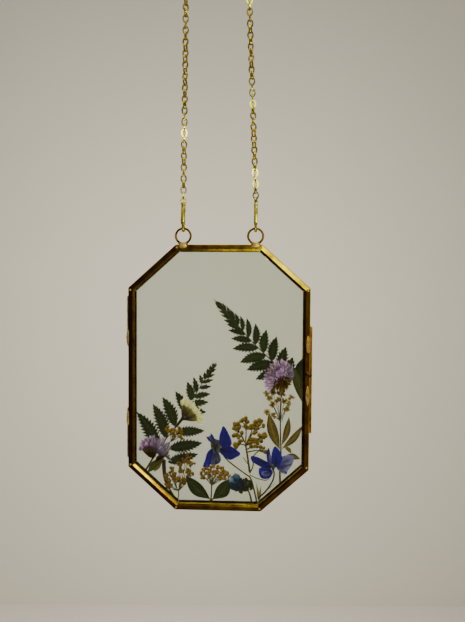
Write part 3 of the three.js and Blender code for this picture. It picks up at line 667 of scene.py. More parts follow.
def add_shell(cutting, rows, material):
    """rows of (x, y, z, u, v): a front and a back skin that meet at the rim."""
    count, width = len(rows), len(rows[0])
    places, uvs = [], []
    for side in (-1, 1):
        for i, row in enumerate(rows):
            for j, (x, y, z, u, v) in enumerate(row):
                on_rim = i in (0, count - 1) or j in (0, width - 1)
                places.append((x, y + side * THICKNESS * (0.25 if on_rim else 0.5), z))
                uvs.append((u, v))
    half = count * width
    faces = []
    for i in range(count - 1):
        for j in range(width - 1):
            a = i * width + j
            quad = (a, a + 1, a + width + 1, a + width)
            faces.append(quad)
            faces.append(tuple(half + k for k in reversed(quad)))
    rim = list(range(width)) + [i * width + width - 1 for i in range(1, count)]
    rim += [(count - 1) * width + j for j in range(width - 2, -1, -1)]
    rim += [i * width for i in range(count - 2, 0, -1)]
    for a, b in zip(rim, rim[1:] + rim[:1]):
        faces.append((b, a, half + a, half + b))
    cutting.add(places, uvs, faces, material)


LEAN, BLADE_STEPS = 0.3, 14
TOOTH_STEPS = (0.04, 0.4, 0.9)


def blade(cutting, base, tip, width, material, widest=0.42, teeth=0, depth=0.2, bend=0.0, cup=0.12,
          ruffle=0.0, blunt=0.0, least=0.12, lift=0.0):
    """A leaf or petal from base to tip. bend bows it sideways, blunt rounds its tip off, cup hollows
    it, ruffle waves its edges, least is the half width it never goes under, lift moves it back."""
    start, run = Vector(base), Vector(tip) - Vector(base)
    length = run.length
    side = Vector((-run.y, run.x)) / length
    power = math.log(0.5) / math.log(widest)
    if teeth:
        steps = [0.0, *((k + share) / teeth for k in range(teeth) for share in TOOTH_STEPS), 1.0]
    else:
        steps = [k / BLADE_STEPS for k in range(BLADE_STEPS + 1)]
    phase = dice.uniform(0, 6.28)
    rows = []
    for t in steps:
        half = width / 2 * math.sin(math.pi * min(t, 1) ** power) ** (1 - 0.5 * blunt)
        part = (t * teeth) % 1 if teeth and 0 < t < 1 else 0.0
        half *= 1 + depth * (part - 0.5) if teeth else 1
        half = max(half, least * (0.5 if t > 0.5 else 1))
        row = []
        for v in (-1, -0.6, 0, 0.6, 1):
            forward = LEAN * length / teeth * part if teeth and abs(v) == 1 else 0.0
            forward -= blunt * width * 0.3 * v * v * t ** 3
            wave = ruffle * math.sin(phase + 9 * t + 5 * v) * v * v * t
            bow = bend * length * math.sin(math.pi * t)
            at = start + run * (t + forward / length) + side * (half * v + bow)
            rise = cup * (1 - abs(v)) * math.sin(math.pi * min(t + 0.1, 1)) - cup * 0.5
            row.append((at.x, lift - rise + wave, at.y, t, (v + 1) / 2))
        rows.append(row)
    add_shell(cutting, rows, material)


FAN_RINGS, FAN_STEPS, FAN_WAVES = (0.12, 0.3, 0.5, 0.7, 0.86, 1.0), 5, 7


def fan(cutting, outline, base, material, ruffle=0.15, lift=0.0):
    """A wide petal with its own outline: rings that grow from its base."""
    rim = smooth_line(outline, FAN_STEPS, closed=True)
    heart = Vector(base)
    phase = dice.uniform(0, 6.28)
    count = len(rim)
    places, uvs, faces = [], [], []
    for side in (-1, 1):
        places.append((heart.x, lift + side * THICKNESS / 2, heart.y))
        uvs.append((0.0, 0.5))
        for s in FAN_RINGS:
            for i, edge in enumerate(rim):
                at = heart + (edge - heart) * s
                turn = 2 * math.pi * i / count
                wave = ruffle * s * s * math.sin(FAN_WAVES * turn + phase)
                thin = 0.25 if s == 1.0 else 0.5
                places.append((at.x, lift + wave + side * THICKNESS * thin, at.y))
                uvs.append((s, i / count))
    half = 1 + len(FAN_RINGS) * count
    outer = half - count
    for i in range(count):
        j = (i + 1) % count
        faces += [(0, 1 + j, 1 + i), (half, half + 1 + i, half + 1 + j)]
        for r in range(len(FAN_RINGS) - 1):
            a, b = 1 + r * count + i, 1 + r * count + j
            faces += [(a, b, b + count, a + count), (half + b, half + a, half + a + count, half + b + count)]
        faces.append((outer + i, outer + j, half + outer + j, half + outer + i))
    cutting.add(places, uvs, faces, material)


STALK_SIDES, STALK_FLATNESS = 6, 0.7


def stalk(cutting, points, thick, thin, material):
    """A stem through a few places, from its thick end to its thin one."""
    line = smooth_line(points, 4)
    count = len(line)
    places, uvs, faces = [], [], []
    for i, at in enumerate(line):
        run = (line[min(i + 1, count - 1)] - line[max(i - 1, 0)]).normalized()
        across = Vector((-run.y, run.x))
        share = i / (count - 1)
        radius = (thick + (thin - thick) * share) / 2
        for k in range(STALK_SIDES):
            turn = 2 * math.pi * k / STALK_SIDES
            out = at + across * (radius * math.cos(turn))
            places.append((out.x, radius * STALK_FLATNESS * math.sin(turn), out.y))
            uvs.append((share, k / STALK_SIDES))
    for i in range(count - 1):
        for k in range(STALK_SIDES):
            a, b = i * STALK_SIDES + k, i * STALK_SIDES + (k + 1) % STALK_SIDES
            faces.append((a, b, b + STALK_SIDES, a + STALK_SIDES))
    faces.append(tuple(range(STALK_SIDES)))
    faces.append(tuple((count - 1) * STALK_SIDES + k for k in reversed(range(STALK_SIDES))))
    cutting.add(places, uvs, faces, material)


print("layers", LAYER_PITCH, "mm apart")

# %% [markdown]
# ## Buds and grains
#
# The umbels and bud sprigs are heads of many small grains. Each grain is the same little lumpy ball at
# another size and turn, which is just what instances are for, so a Geometry Nodes tree sets a ball on
# every point of a bare point mesh and reads its size from the point. The heads are lit from above, and
# that light is painted into the grains too: a grain's colour gets a painted highlight where its skin
# faces up and painted shade where it faces away.

# %% Bud tree


def bud_tree():
    tree, given, result = geometry_tree("bud heads", [
        ("Roundness", NUMBER, 0.6), ("Lumps", NUMBER, 0.22), ("Seed", WHOLE, 5)])
    size = node(tree, "GeometryNodeInputNamedAttribute", {"Name": "size"}, data_type="FLOAT").outputs[0]
    ball = node(tree, "GeometryNodeMeshIcoSphere", {"Radius": 1.0, "Subdivisions": 2})
    flat = node(tree, "ShaderNodeCombineXYZ", {0: size, 1: math_node(tree, "MULTIPLY", size,
                                                                     given["Roundness"]), 2: size})
    turn = node(tree, "FunctionNodeRandomValue", {2: 0.0, 3: 2 * math.pi, "Seed": given["Seed"]},
                data_type="FLOAT").outputs[1]
    spin = node(tree, "FunctionNodeAxisAngleToRotation", {"Axis": (0, 1, 0), "Angle": turn})
    points = node(tree, "GeometryNodeMeshToPoints", {"Mesh": given["Geometry"]})
    placed = node(tree, "GeometryNodeInstanceOnPoints",
                  {"Points": points.outputs[0], "Instance": ball.outputs[0], "Rotation": spin.outputs[0],
                   "Scale": flat.outputs[0]})
    tint = node(tree, "FunctionNodeRandomValue", {2: 0.0, 3: 1.0, "Seed": given["Seed"]}, data_type="FLOAT")
    stored = node(tree, "GeometryNodeStoreNamedAttribute",
                  {"Geometry": placed.outputs[0], "Name": "tint", "Value": tint.outputs[1]},
                  data_type="FLOAT", domain="INSTANCE")
    real = node(tree, "GeometryNodeRealizeInstances", {"Geometry": stored.outputs[0]})
    # Painted shade: the stored tint mixes a random tone with light from above, lighter where the skin faces
    # up and towards the front left, darker where it faces away.
    lit = node(tree, "ShaderNodeVectorMath", {0: node(tree, "GeometryNodeInputNormal").outputs[0],
                                              1: (-0.35, -0.35, 0.87)},
               operation="DOT_PRODUCT").outputs["Value"]
    own = node(tree, "GeometryNodeInputNamedAttribute", {"Name": "tint"}, data_type="FLOAT").outputs[0]
    tone_and_painted_shade = math_node(tree, "ADD", math_node(tree, "MULTIPLY", own, 0.25),
                      remap(tree, lit, 0.0, 0.9, -0.12, 0.8))
    real = node(tree, "GeometryNodeStoreNamedAttribute", {"Geometry": real.outputs[0], "Name": "tint",
                                                          "Value": tone_and_painted_shade}, data_type="FLOAT",
                domain="POINT")
    at = node(tree, "GeometryNodeInputPosition").outputs[0]
    lump = node(tree, "ShaderNodeTexNoise", {"Vector": at, "Scale": 2200.0, "Detail": 1.0}).outputs["Fac"]
    push = math_node(tree, "MULTIPLY", math_node(tree, "SUBTRACT", lump, 0.5),
                     math_node(tree, "MULTIPLY", given["Lumps"], 2 * MM))
    outward = node(tree, "ShaderNodeVectorMath", {0: node(tree, "GeometryNodeInputNormal").outputs[0],
                                                  "Scale": push}, operation="SCALE")
    moved = node(tree, "GeometryNodeSetPosition", {"Geometry": real.outputs[0], "Offset": outward.outputs[0]})
    done = node(tree, "GeometryNodeSetMaterial", {"Geometry": moved.outputs[0],
                                                  "Material": given["Material"]})
    tree.links.new(done.outputs[0], result[0])
    return tree


BUD_TREE = bud_tree()
print("bud tree", len(BUD_TREE.nodes), "nodes")


def buds(name, places, material, layer, grains, grain, spread, roundness=0.75):
    """A head of grains round each of places, given as (x, z) with an optional radius factor."""
    y = (layer - MIDDLE_LAYER) * LAYER_PITCH
    points, sizes = [], []
    for x, z, *factor in places:
        share = factor[0] if factor else 1.0
        for k in range(grains):
            turn, reach = dice.uniform(0, 6.28), spread * share * math.sqrt(dice.random())
            points.append(spot(x + reach * math.cos(turn), y + dice.uniform(-0.12, 0.12),
                               z + reach * math.sin(turn)))
            sizes.append(grain * share * dice.uniform(0.75, 1.25) * MM)
    mesh = bpy.data.meshes.new(name + " points")
    mesh.from_pydata([tuple(p) for p in points], [], [])
    mesh.attributes.new("size", "FLOAT", "POINT").data.foreach_set("value", sizes)
    piece = grow(name, mesh, BUD_TREE, {"Roundness": roundness, "Material": material}, FRONT)


# %% [markdown]
# ## The fern fronds
#
# A frond is a midrib with toothed leaflets that shorten towards its tip, where they run together, so
# one more toothed blade stands for that winged tip. The leaflets are placed one by one, because a
# pressed frond is never regular: each is given by the place where it leaves the midrib, by its own tip
# and by its width.

# %% Fronds


def along_line(points, distance):
    """The place at this many millimetres along a smooth line."""
    line = smooth_line(points, 12)
    for a, b in zip(line, line[1:]):
        step = (b - a).length
        if distance <= step:
            return a + (b - a) * (distance / step)
        distance -= step
    return line[-1]


TIP_REACH = 20.0


def frond(cutting, midrib, leaflets, depth, tooth_pitch, fullness, wing, wing_width, tip_share=1.0):
    """Leaflets are (distance along the midrib, tip x, tip z, width); the wing is the toothed tip."""
    stalk(cutting, midrib, 0.35, 0.8, STEM_GREEN)
    blade(cutting, along_line(midrib, wing), midrib[0], wing_width, FERN, 0.35, 12, 0.8, least=0.3)
    for distance, x, z, width in leaflets:
        base = along_line(midrib, distance)
        reach = math.hypot(x - base.x, z - base.y)
        width *= tip_share if distance < TIP_REACH else 1.0
        teeth = max(3, round(reach / tooth_pitch))
        bend = 0.05 if x > base.x else -0.05
        blade(cutting, base, (x, z), width * fullness, FERN, 0.42, teeth, depth, bend, blunt=0.3)


upper_midrib = [(-3, 44.7), (3.1, 38), (7.6, 33.2), (13.6, 26.7), (18.6, 21), (26, 13.8), (30.6, 9.5),
                (40.6, 0)]
upper_leaflets = [(5, -0.9, 43.6, 1.3), (7.5, 0.2, 43, 1.4), (10.5, 1.8, 42.6, 1.6), (14, 4.2, 40.9, 1.8),
                  (17, 6.6, 38.9, 2), (20.5, 9.2, 36.8, 2.2), (24.5, 12.1, 35.2, 2.4), (29.5, 15.8, 34, 2.9),
                  (35, 20.6, 31.1, 3.7), (41.5, 26.8, 27.7, 4.6), (48, 32.6, 23.9, 5), (55, 37.9, 18.1, 5.2),
                  (61, 41.7, 12.3, 5), (4, -2.6, 42.6, 1.3), (6, -2, 41.6, 1.4), (8.5, -1.4, 40.4, 1.5),
                  (12.5, -0.4, 38.2, 1.7), (16, 1, 35.8, 2), (20, 2.7, 32.9, 2.3), (23.5, 4.4, 30.5, 2.5),
                  (27, 5.2, 27.1, 2.8), (32, 6.9, 22.4, 3.5), (37.5, 7.6, 16.6, 4.4), (43.5, 11.9, 8.9, 5.2),
                  (50, 15.7, 4.6, 5.6), (56, 20.8, -0.7, 5.2)]
upper = Cutting(5)
frond(upper, upper_midrib, upper_leaflets, 0.55, 1.8, 1.2, wing=20.0, wing_width=2.8, tip_share=0.86)
upper.finish("upper_fern_frond", "upper_frond", "dried_green")

left_midrib = [(-1.3, 8.9), (-7.3, 0.1), (-12.4, -8.3), (-16.9, -16.7), (-24.5, -28.2), (-29.8, -35.2),
               (-36, -43)]
left_leaflets = [(3.5, -3, 8.6, 1.2), (5, -0.9, 7.6, 1.4), (8, -1.4, 5, 1.5), (11, -2.3, 1.8, 1.7),
                 (14.5, -3.2, -1.2, 1.9), (18, -4.4, -5.1, 2.2), (24, -4.7, -9.3, 3), (29, -5.7, -14, 3.5),
                 (34.5, -7, -19.7, 4.2), (6, -4.6, 7.2, 1.4), (9, -6.4, 5.3, 1.6), (12, -8.1, 3.1, 1.8),
                 (15, -10.8, 1.5, 2.1), (21, -14.3, 0, 2.7), (26.5, -17.9, -2.5, 4.1), (34, -24.7, -8, 4.3),
                 (44, -32.1, -11.3, 5.7), (52.5, -37.7, -15.3, 6), (60, -47.1, -20, 6.5)]
left = Cutting(5)
frond(left, left_midrib, left_leaflets, 0.62, 2.0, 1.22, wing=12.0, wing_width=2.4)
for base, tip, width in [((-24.6, -31.4), (-7.8, -30.4), 5.8), ((-28.4, -41), (-9, -37.4), 7),
                         ((-29, -49), (-11.4, -43.8), 6.4)]:
    blade(left, base, tip, width, FERN, 0.42, 10, 0.6, blunt=0.3)
left.finish("left_fern_frond", "left_frond", "dried_green")

# %% [markdown]
# ## Flowers on the left
#
# A cream flower lies over the frond's foot, with a brown striped heart. Beside it lie yellow buds, and
# at the frame's edge a lilac flower whose ruffled petals overlap, above its brown calyx.

# %% Cream flower and buds
cream = Cutting(1)
outer_arc = [(-21.5, -11.8), (-18.7, -11.0), (-14.7, -12.6), (-11.1, -16.0), (-8.7, -20.2), (-7.9, -24.0),
             (-9.3, -27.0)]
inner_arc = [(-20.5, -16.0), (-18.9, -15.8), (-16.7, -16.8), (-14.7, -18.6), (-13.3, -20.6), (-12.5, -22.6),
             (-12.7, -24.2)]
apex = Vector((-20.9, -24.2))


def between(line, share):
    """The place at a share of the way along a smooth line."""
    curve_line = smooth_line(line, 10)
    at = share * (len(curve_line) - 1)
    low = min(int(at), len(curve_line) - 2)
    return curve_line[low].lerp(curve_line[low + 1], at - low)


for k in range(26):
    share = min(max((k + dice.uniform(-0.3, 0.3)) / 25, 0), 1)
    inner, outer = between(inner_arc, share), between(outer_arc, share)
    reach = dice.uniform(0.62, 1.06)
    blade(cream, inner.lerp(apex, 0.12), inner.lerp(outer, reach), 1.3, CREAM, 0.6, blunt=0.4, ruffle=0.12,
          lift=dice.uniform(-0.1, 0.1))
for k in range(15):
    share = k / 14
    blade(cream, apex, between(inner_arc, share).lerp(apex, -0.1), 1.1, CREAM_CONE, 0.7,
          lift=-0.18 + 0.05 * (k % 2))
stalk(cream, [(-24.5, -28.6), (-22.4, -26.2), (-20.6, -23.8)], 0.9, 1.4, STEM_BROWN)
cream.finish("cream_pressed_flower", "cream_flower", "dried_cream")

cluster = Cutting(3)
cluster_buds = [(-28.6, -29.5), (-25.4, -30), (-21.9, -29.7), (-26, -33.2), (-21.9, -31.8), (-21.2, -33.7)]
for x, z in cluster_buds:
    stalk(cluster, [(-27, -36.8), ((x - 27) / 2 + 0.5, (z - 36) / 2), (x, z)], 0.5, 0.3, STEM_BROWN)
cluster.finish("left_bud_cluster_stems", "left_bud_cluster", "dried_yellow")
buds("left_bud_cluster_buds", cluster_buds, BUD_YELLOW, 2, 6, 0.96, 1.45)

# %% Left lilac flower
lilac = Cutting(1)
lilac_rim = [(-45.8, -41), (-45.4, -37.6), (-42.6, -34.4), (-38.8, -32.4), (-34.4, -33), (-30.4, -34.4),
             (-26.8, -37.2), (-26.8, -40.4), (-29, -43.4)]
lilac_seat = [(-42.6, -41.4), (-41.4, -40.4), (-39.6, -40.2), (-37.8, -41), (-36.4, -42.4), (-35.2, -43.4),
              (-34.2, -44.2), (-33.4, -44.8), (-33, -45.2)]


def ruff(cutting, rim, seat, count, width, materials, reach, lift, turn_at=0.45):
    """Narrow petals from a seat line to a rim line; the second material takes over past turn_at."""
    for k in range(count):
        share = min(max((k + dice.uniform(-0.35, 0.35)) / (count - 1), 0), 1)
        foot, edge = between(seat, share), between(rim, share)
        material = materials[0] if share + dice.uniform(-0.35, 0.35) < turn_at else materials[1]
        tip = foot.lerp(edge, dice.uniform(*reach))
        blade(cutting, foot, tip, width * dice.uniform(0.8, 1.2), material, 0.62, blunt=0.35, ruffle=0.25,
              cup=0.16, bend=dice.uniform(-0.08, 0.08), lift=lift + dice.uniform(-0.06, 0.06), least=0.3)


ruff(lilac, lilac_rim, lilac_seat, 34, 1.8, (LILAC, LILAC_BLUE), (0.8, 1.05), 0.1)
ruff(lilac, lilac_rim, lilac_seat, 30, 1.5, (LILAC, LILAC_BLUE), (0.4, 0.85), -0.08, 0.55)
ruff(lilac, [(-30.2, -43), (-28, -44), (-26.2, -46), (-26.4, -48.4)],
     [(-31, -44), (-31, -44.4), (-30.8, -44.8), (-30.6, -45)], 5, 1.4, (LILAC, LILAC_BLUE), (0.8, 1.0),
     0.05)
for row, count in enumerate((9, 7, 5)):
    for k in range(count):
        share = k / (count - 1)
        tip = between([(-43.4, -41.2), (-41, -39), (-37.6, -39.2), (-35.6, -41.6)], share)
        foot = Vector((-37, -46.8))
        blade(lilac, foot, foot.lerp(tip, 1.0 - 0.24 * row), 1.9, CALYX, 0.72, blunt=0.3,
              lift=-0.16 - 0.05 * row, cup=0.25)
for k in range(7):
    tip = between([(-34, -44.4), (-30.6, -42.4), (-27.8, -42.6)], k / 6)
    blade(lilac, (-35.8, -48.8), tip, 1.6, CALYX, 0.6, lift=-0.12 - 0.03 * (k % 2), cup=0.25)
stalk(lilac, [(-41.4, -53.3), (-39.5, -50), (-37.5, -46.4), (-37, -43)], 1.1, 0.9, LEAF_DULL)
lilac.finish("left_lilac_pressed_flower", "left_lilac_flower", "dried_lilac")

calyx_leaf = Cutting(2)
blade(calyx_leaf, (-31, -46.6), (-40.4, -54.8), 4.6, LEAF_DULL, 0.5, bend=-0.06)
blade(calyx_leaf, (-32.2, -48.6), (-36.8, -54.4), 2.2, SPRIG_LEAF, 0.5)
calyx_leaf.finish("left_lilac_pressed_leaf", "left_lilac_leaf", "dried_green")

dark = Cutting(4)
stalk(dark, [(-31.6, -47), (-31.4, -54), (-30, -60.5), (-25.8, -67.7)], 1.6, 1.0, STEM_BROWN)
stalk(dark, [(-30.6, -47.6), (-30.4, -54), (-29.4, -59.5), (-27.6, -62.6)], 1.2, 0.7, STEM_BROWN)
dark.finish("left_dark_pressed_stem", "left_dark_stem", "dried_brown")

# %% Left bud sprig
sprig = Cutting(3)
sprig_left = [(-26.4, -53), (-29.3, -56.8), (-27.3, -56), (-24.8, -56.5), (-28.3, -59.5), (-24.5, -59),
              (-29, -61.7), (-27.4, -61.4)]
sprig_right = [(-16.8, -44.8), (-18.8, -47.5), (-17.2, -47.7), (-15, -49.5), (-22, -50), (-21, -53),
               (-17.2, -54), (-16, -55), (-21.3, -59.8, 1.5)]
for places, meeting in ((sprig_left, (-23, -65)), (sprig_right, (-22.4, -65))):
    for x, z, *_ in places:
        middle = ((x + meeting[0]) / 2 + dice.uniform(-0.6, 0.6), (z + meeting[1]) / 2 - 1)
        stalk(sprig, [meeting, middle, (x, z)], 0.45, 0.3, STEM_GREEN)
stalk(sprig, [(-22.9, -70.3), (-22.6, -67), (-22.7, -64)], 0.7, 0.6, STEM_GREEN)
sprig.finish("left_bud_sprig_stems", "left_bud_sprig", "dried_yellow")
buds("left_bud_sprig_buds", sprig_left + sprig_right, BUD_OCHRE, 3, 11, 0.72, 1.7)

# %% [markdown]
# ## Flowers in the middle
#
# A small tan umbel opens over two dark ovate leaves, a deep blue larkspur stands on a long thin stem,
# and a wide yellow umbel fans out behind it. Between their stems lie a small blue flower and a head of
# green buds.

# %% Tan umbel and ovate leaves
umbel = Cutting(3)
dome = [(-9.3, -55.6), (-7.8, -53), (-5.4, -51.3), (-2.5, -50.6), (0.4, -51), (3, -52.5), (5.4, -54.8),
        (6.6, -57), (-6.2, -54.6), (-3.6, -53.4), (-0.8, -53.4), (1.8, -54.9), (-8.9, -57), (-5.4, -56.6),
        (-2.2, -56), (1, -57), (3.8, -56.8)]
for x, z in dome:
    stalk(umbel, [(-3.6, -61.6), ((x - 3.6) / 2, (z - 60) / 2), (x, z)], 0.45, 0.3, STEM_GREEN)
stalk(umbel, [(-4, -71), (-3.8, -66), (-3.6, -61)], 0.9, 0.7, STEM_GREEN)
umbel.finish("tan_umbel_stems", "tan_umbel", "dried_yellow")
buds("tan_umbel_buds", dome, BUD_TAN, 3, 8, 0.7, 1.5)

ovate = Cutting(4)
blade(ovate, (-4.6, -69.6), (-18.6, -56.4), 7.4, LEAF_GREEN, 0.5, bend=0.06, cup=0.2)
blade(ovate, (-3, -69.6), (6.2, -57.6), 7.8, LEAF_GREEN, 0.5, bend=-0.1, cup=0.2)
stalk(ovate, [(-5.6, -68.6), (-4, -70.2), (-2.4, -69)], 0.8, 0.8, STEM_GREEN)
ovate.finish("ovate_pressed_leaves", "ovate_leaf_pair", "dried_green")

# %% Left larkspur
lark = Cutting(2)
fan(lark, [(-4.2, -35.3), (0.2, -35.3), (1.6, -39.6), (0.2, -43.2), (-3.5, -41.8)], (-1, -38.5), DUSTY, 0.1)
fan(lark, [(-3.8, -40.3), (-6.3, -42.8), (-7.4, -46.8), (-8.6, -50.8), (-4.9, -50.1), (-3.6, -45.9),
           (-2.6, -41.9)], (-3.2, -40.7), BLUE, 0.14, lift=-0.05)
fan(lark, [(-3.4, -39.6), (1.2, -44.3), (0.9, -48.3), (-3.5, -49.7), (-5.2, -47.9), (-4.2, -42.9)],
    (-1.8, -40.5), BLUE_PALE, 0.14, lift=0.05)
fan(lark, [(1.9, -39.3), (5.9, -38.3), (9.5, -40), (12.6, -42.9), (10.3, -45), (7, -46.5), (4.5, -45.7),
           (2, -43.6), (0.7, -41.4)], (1.6, -40.5), BLUE, 0.15, lift=-0.1)
fan(lark, [(2.9, -27.3), (4.8, -29.5), (6.8, -33.5), (7.7, -36.7), (6.6, -39.1), (3.8, -39.9), (1.4, -38.7),
           (0.4, -36.4), (0.7, -32.8), (1.7, -29.5)], (3, -39.5), BLUE, 0.12, lift=-0.05)
blade(lark, (-1.6, -37.5), (-4.2, -31.5), 2.3, BLUE, 0.55, bend=0.06)
blade(lark, (-2, -37.9), (-6.9, -33.5), 2.4, BLUE, 0.55, bend=-0.06)
blade(lark, (-2.4, -37.3), (-5.4, -32.7), 1.6, BLUE_PALE, 0.5, lift=-0.08)
blade(lark, (-1, -43.3), (-3, -35.3), 1.5, CALYX, 0.5, lift=-0.16)
stalk(lark, [(22.2, -71), (20.4, -63), (18.4, -56.7), (16, -54.8), (10.4, -50.8), (5.2, -46.7),
             (2.4, -43.4)], 1.0, 0.7, STEM_GREEN)
lark.finish("left_pressed_larkspur", "left_larkspur", "dried_blue")

# %% Small blue flower and green buds
small = Cutting(1)
for heart, petals in (((11, -60.4), [(102, 7.0, 5.0, SKY), (60, 4.8, 3.6, SLATE), (20, 5, 3.6, SLATE),
                                     (-22, 5, 3.6, SLATE), (-62, 4.8, 4, SLATE), (-104, 4.6, 4, SLATE),
                                     (-146, 5.2, 4, SLATE), (145, 5.8, 4.0, SKY), (178, 5.2, 3.6, SLATE)]),
                      ((13.8, -61), [(80, 3.4, 2.6, SLATE), (10, 2.4, 2.4, SLATE),
                                     (-60, 3.4, 2.6, SLATE)])):
    for turn, length, width, material in petals:
        way = Vector((math.cos(math.radians(turn)), math.sin(math.radians(turn))))
        blade(small, Vector(heart) + way * 0.4, Vector(heart) + way * length, width, material, 0.66,
              blunt=0.8, ruffle=0.2, lift=dice.uniform(-0.08, 0.08))
fan(small, [(12.8, -60.4), (11, -58.6), (9.2, -60.4), (11, -62.2)], (11, -60.4), SLATE, 0.03)
small.finish("small_blue_pressed_flower", "small_blue_flower", "dried_blue")

green = Cutting(4)
green_buds = [(16.6, -58.6), (18.2, -60.2), (17.8, -62), (16, -63.6), (13.6, -63.8), (17, -61), (15.2, -58.4)]
for x, z in green_buds:
    stalk(green, [(16.3, -63.6), ((x + 16.3) / 2 + 0.3, (z - 63) / 2), (x, z)], 0.5, 0.35, STEM_GREEN)
stalk(green, [(19.2, -71.5), (18.4, -67.3), (16.8, -63)], 1.2, 0.8, STEM_GREEN)
green.finish("green_bud_stems", "green_bud_cluster", "dried_green")
buds("green_bud_heads", green_buds, BUD_GREEN, 2, 9, 0.7, 1.5)

# %% Yellow umbel
yellow = Cutting(3)
yellow_buds = [(9.2, -26.2), (8.5, -29.1), (10.4, -28.8), (11.8, -28.3), (13.5, -24), (15.6, -23.2),
               (16.1, -24.7), (11.6, -26.2), (15.4, -27), (16.1, -28.4), (9.2, -32.6), (10.4, -32.4),
               (11.6, -33.3), (13.2, -30.5), (9.2, -37.6), (10.4, -38.1), (11.6, -37.1), (10.2, -39.3),
               (12.7, -35.5), (21.3, -24.8), (22.7, -24), (24.1, -24), (26, -26.8), (20.8, -26.2),
               (22.7, -26.2), (18.9, -27.2), (20.3, -27.9), (21.7, -28.8), (18, -28), (22.7, -28),
               (20.8, -30.7), (23.6, -32.1), (26, -31.4), (26.9, -32.1), (25.1, -33), (26, -33.8),
               (24.6, -35.7), (19.8, -34.4), (18, -34.9), (21.3, -35.6), (22.2, -36.7), (20.1, -36.5),
               (18.4, -36.8), (16.5, -36.8), (18.4, -38.9), (20.3, -38.6), (22.2, -38.4), (23.6, -39.1),
               (26.2, -39.5), (26.4, -41.4), (26.9, -42.1)]
rays = [((15.4, -37.5), (9.6, -27.5)), ((15.4, -37.5), (11.4, -31.8)), ((15.6, -38.4), (10.4, -38)),
        ((15.4, -37.5), (15.2, -24.6)), ((15.5, -38), (19.6, -28)), ((15.5, -38), (22.6, -25)),
        ((15.6, -38.5), (21, -35.4)), ((15.6, -38.5), (25.8, -32.6)), ((16.2, -40.5), (21.6, -38.4)),
        ((16.6, -42), (26.4, -41))]
for foot, top in rays:
    middle = ((foot[0] + top[0]) / 2 + 0.5, (foot[1] + top[1]) / 2 + 0.6)
    stalk(yellow, [foot, middle, top], 0.75, 0.5, STEM_GREEN)
hubs = [Vector(foot).lerp(Vector(top), share) for foot, top in rays for share in (0.35, 0.7)]
for x, z in yellow_buds:
    hub = min(hubs, key=lambda place: (place - Vector((x, z))).length)
    stalk(yellow, [hub, hub.lerp(Vector((x, z)), 0.5) + Vector((0.3, -0.2)), (x, z)], 0.5, 0.5, STEM_BROWN)
stalk(yellow, [(18, -53.5), (16.6, -44), (15.4, -37.3)], 1.2, 0.9, STEM_GREEN)
stalk(yellow, [(18, -54), (19.8, -50), (20.3, -44), (24, -40.5)], 0.8, 0.6, STEM_GREEN)
stalk(yellow, [(16.9, -48.8), (15.6, -47), (14.2, -45)], 0.5, 0.4, STEM_GREEN)
yellow.finish("yellow_umbel_stems", "yellow_umbel", "dried_yellow")
buds("yellow_umbel_buds", yellow_buds, BUD_YELLOW, 3, 3, 1.02, 0.75, 0.6)

# %% [markdown]
# ## Flowers on the right
#
# A second larkspur lies lower right, under an olive sprig of narrow leaves that carries small yellow
# flowers. A lilac flower with a fan of brown stamens covers the frond's foot. Blades of grass stand at
# the bottom, and a dull leaf and two green ones fill the edge behind the lilac flower.

# %% Right larkspur
right = Cutting(2)
fan(right, [(18.7, -44.3), (21.4, -44.3), (25, -45.8), (28.3, -47.6), (30.4, -50.4), (27.9, -51.7),
            (25, -50.6), (20.7, -48.3), (18.8, -46.5)], (29.6, -50), BLUE, 0.13, lift=-0.04)
fan(right, [(23.6, -50.8), (27.9, -50.8), (31, -52.4), (30.2, -55.5), (27.2, -57.1), (24.6, -56.6),
            (23.2, -54.1)], (29.8, -51.2), BLUE, 0.13)
fan(right, [(25, -52.8), (28, -52.8), (29.2, -54.2), (27, -55.6), (25, -54.8)], (28.8, -53.2), BLUE_PALE,
    0.08, lift=-0.1)
fan(right, [(28.3, -39.4), (29.3, -41.1), (29.9, -46.1), (29.2, -48.6), (27.9, -47.2), (27.4, -43.2)],
    (29.4, -48.2), BLUE, 0.1)
blade(right, (30.2, -50.2), (29.2, -42.2), 2.2, BLUE_PALE, 0.55, lift=-0.06)
fan(right, [(36, -44.4), (39.4, -43.2), (42.9, -43.8), (42, -48.3), (39.6, -51.9), (38.4, -54.2),
            (35.1, -52.8), (33.2, -50.2)], (33.2, -49.6), BLUE_PALE, 0.16)
fan(right, [(32.2, -38.3), (34.7, -40.5), (36.4, -44.7), (35.3, -48.3), (32.9, -50.4), (30.6, -48.5),
            (30.3, -43.2), (30.9, -40.2)], (32.6, -49.6), BLUE, 0.13, lift=-0.08)
blade(right, (31.4, -52.8), (31, -47.8), 2.0, DUSTY, 0.5, lift=-0.14)
stalk(right, [(22.7, -68.3), (26.4, -65), (29.7, -60.6), (31.6, -56.3), (31.8, -52.5)], 1.0, 0.8, STEM_GREEN)
stalk(right, [(18, -54.9), (21.4, -56.6), (24.6, -57.4), (27.4, -57.8), (30, -55.5)], 0.5, 0.5, STEM_BROWN)
right.finish("right_pressed_larkspur", "right_larkspur", "dried_blue")

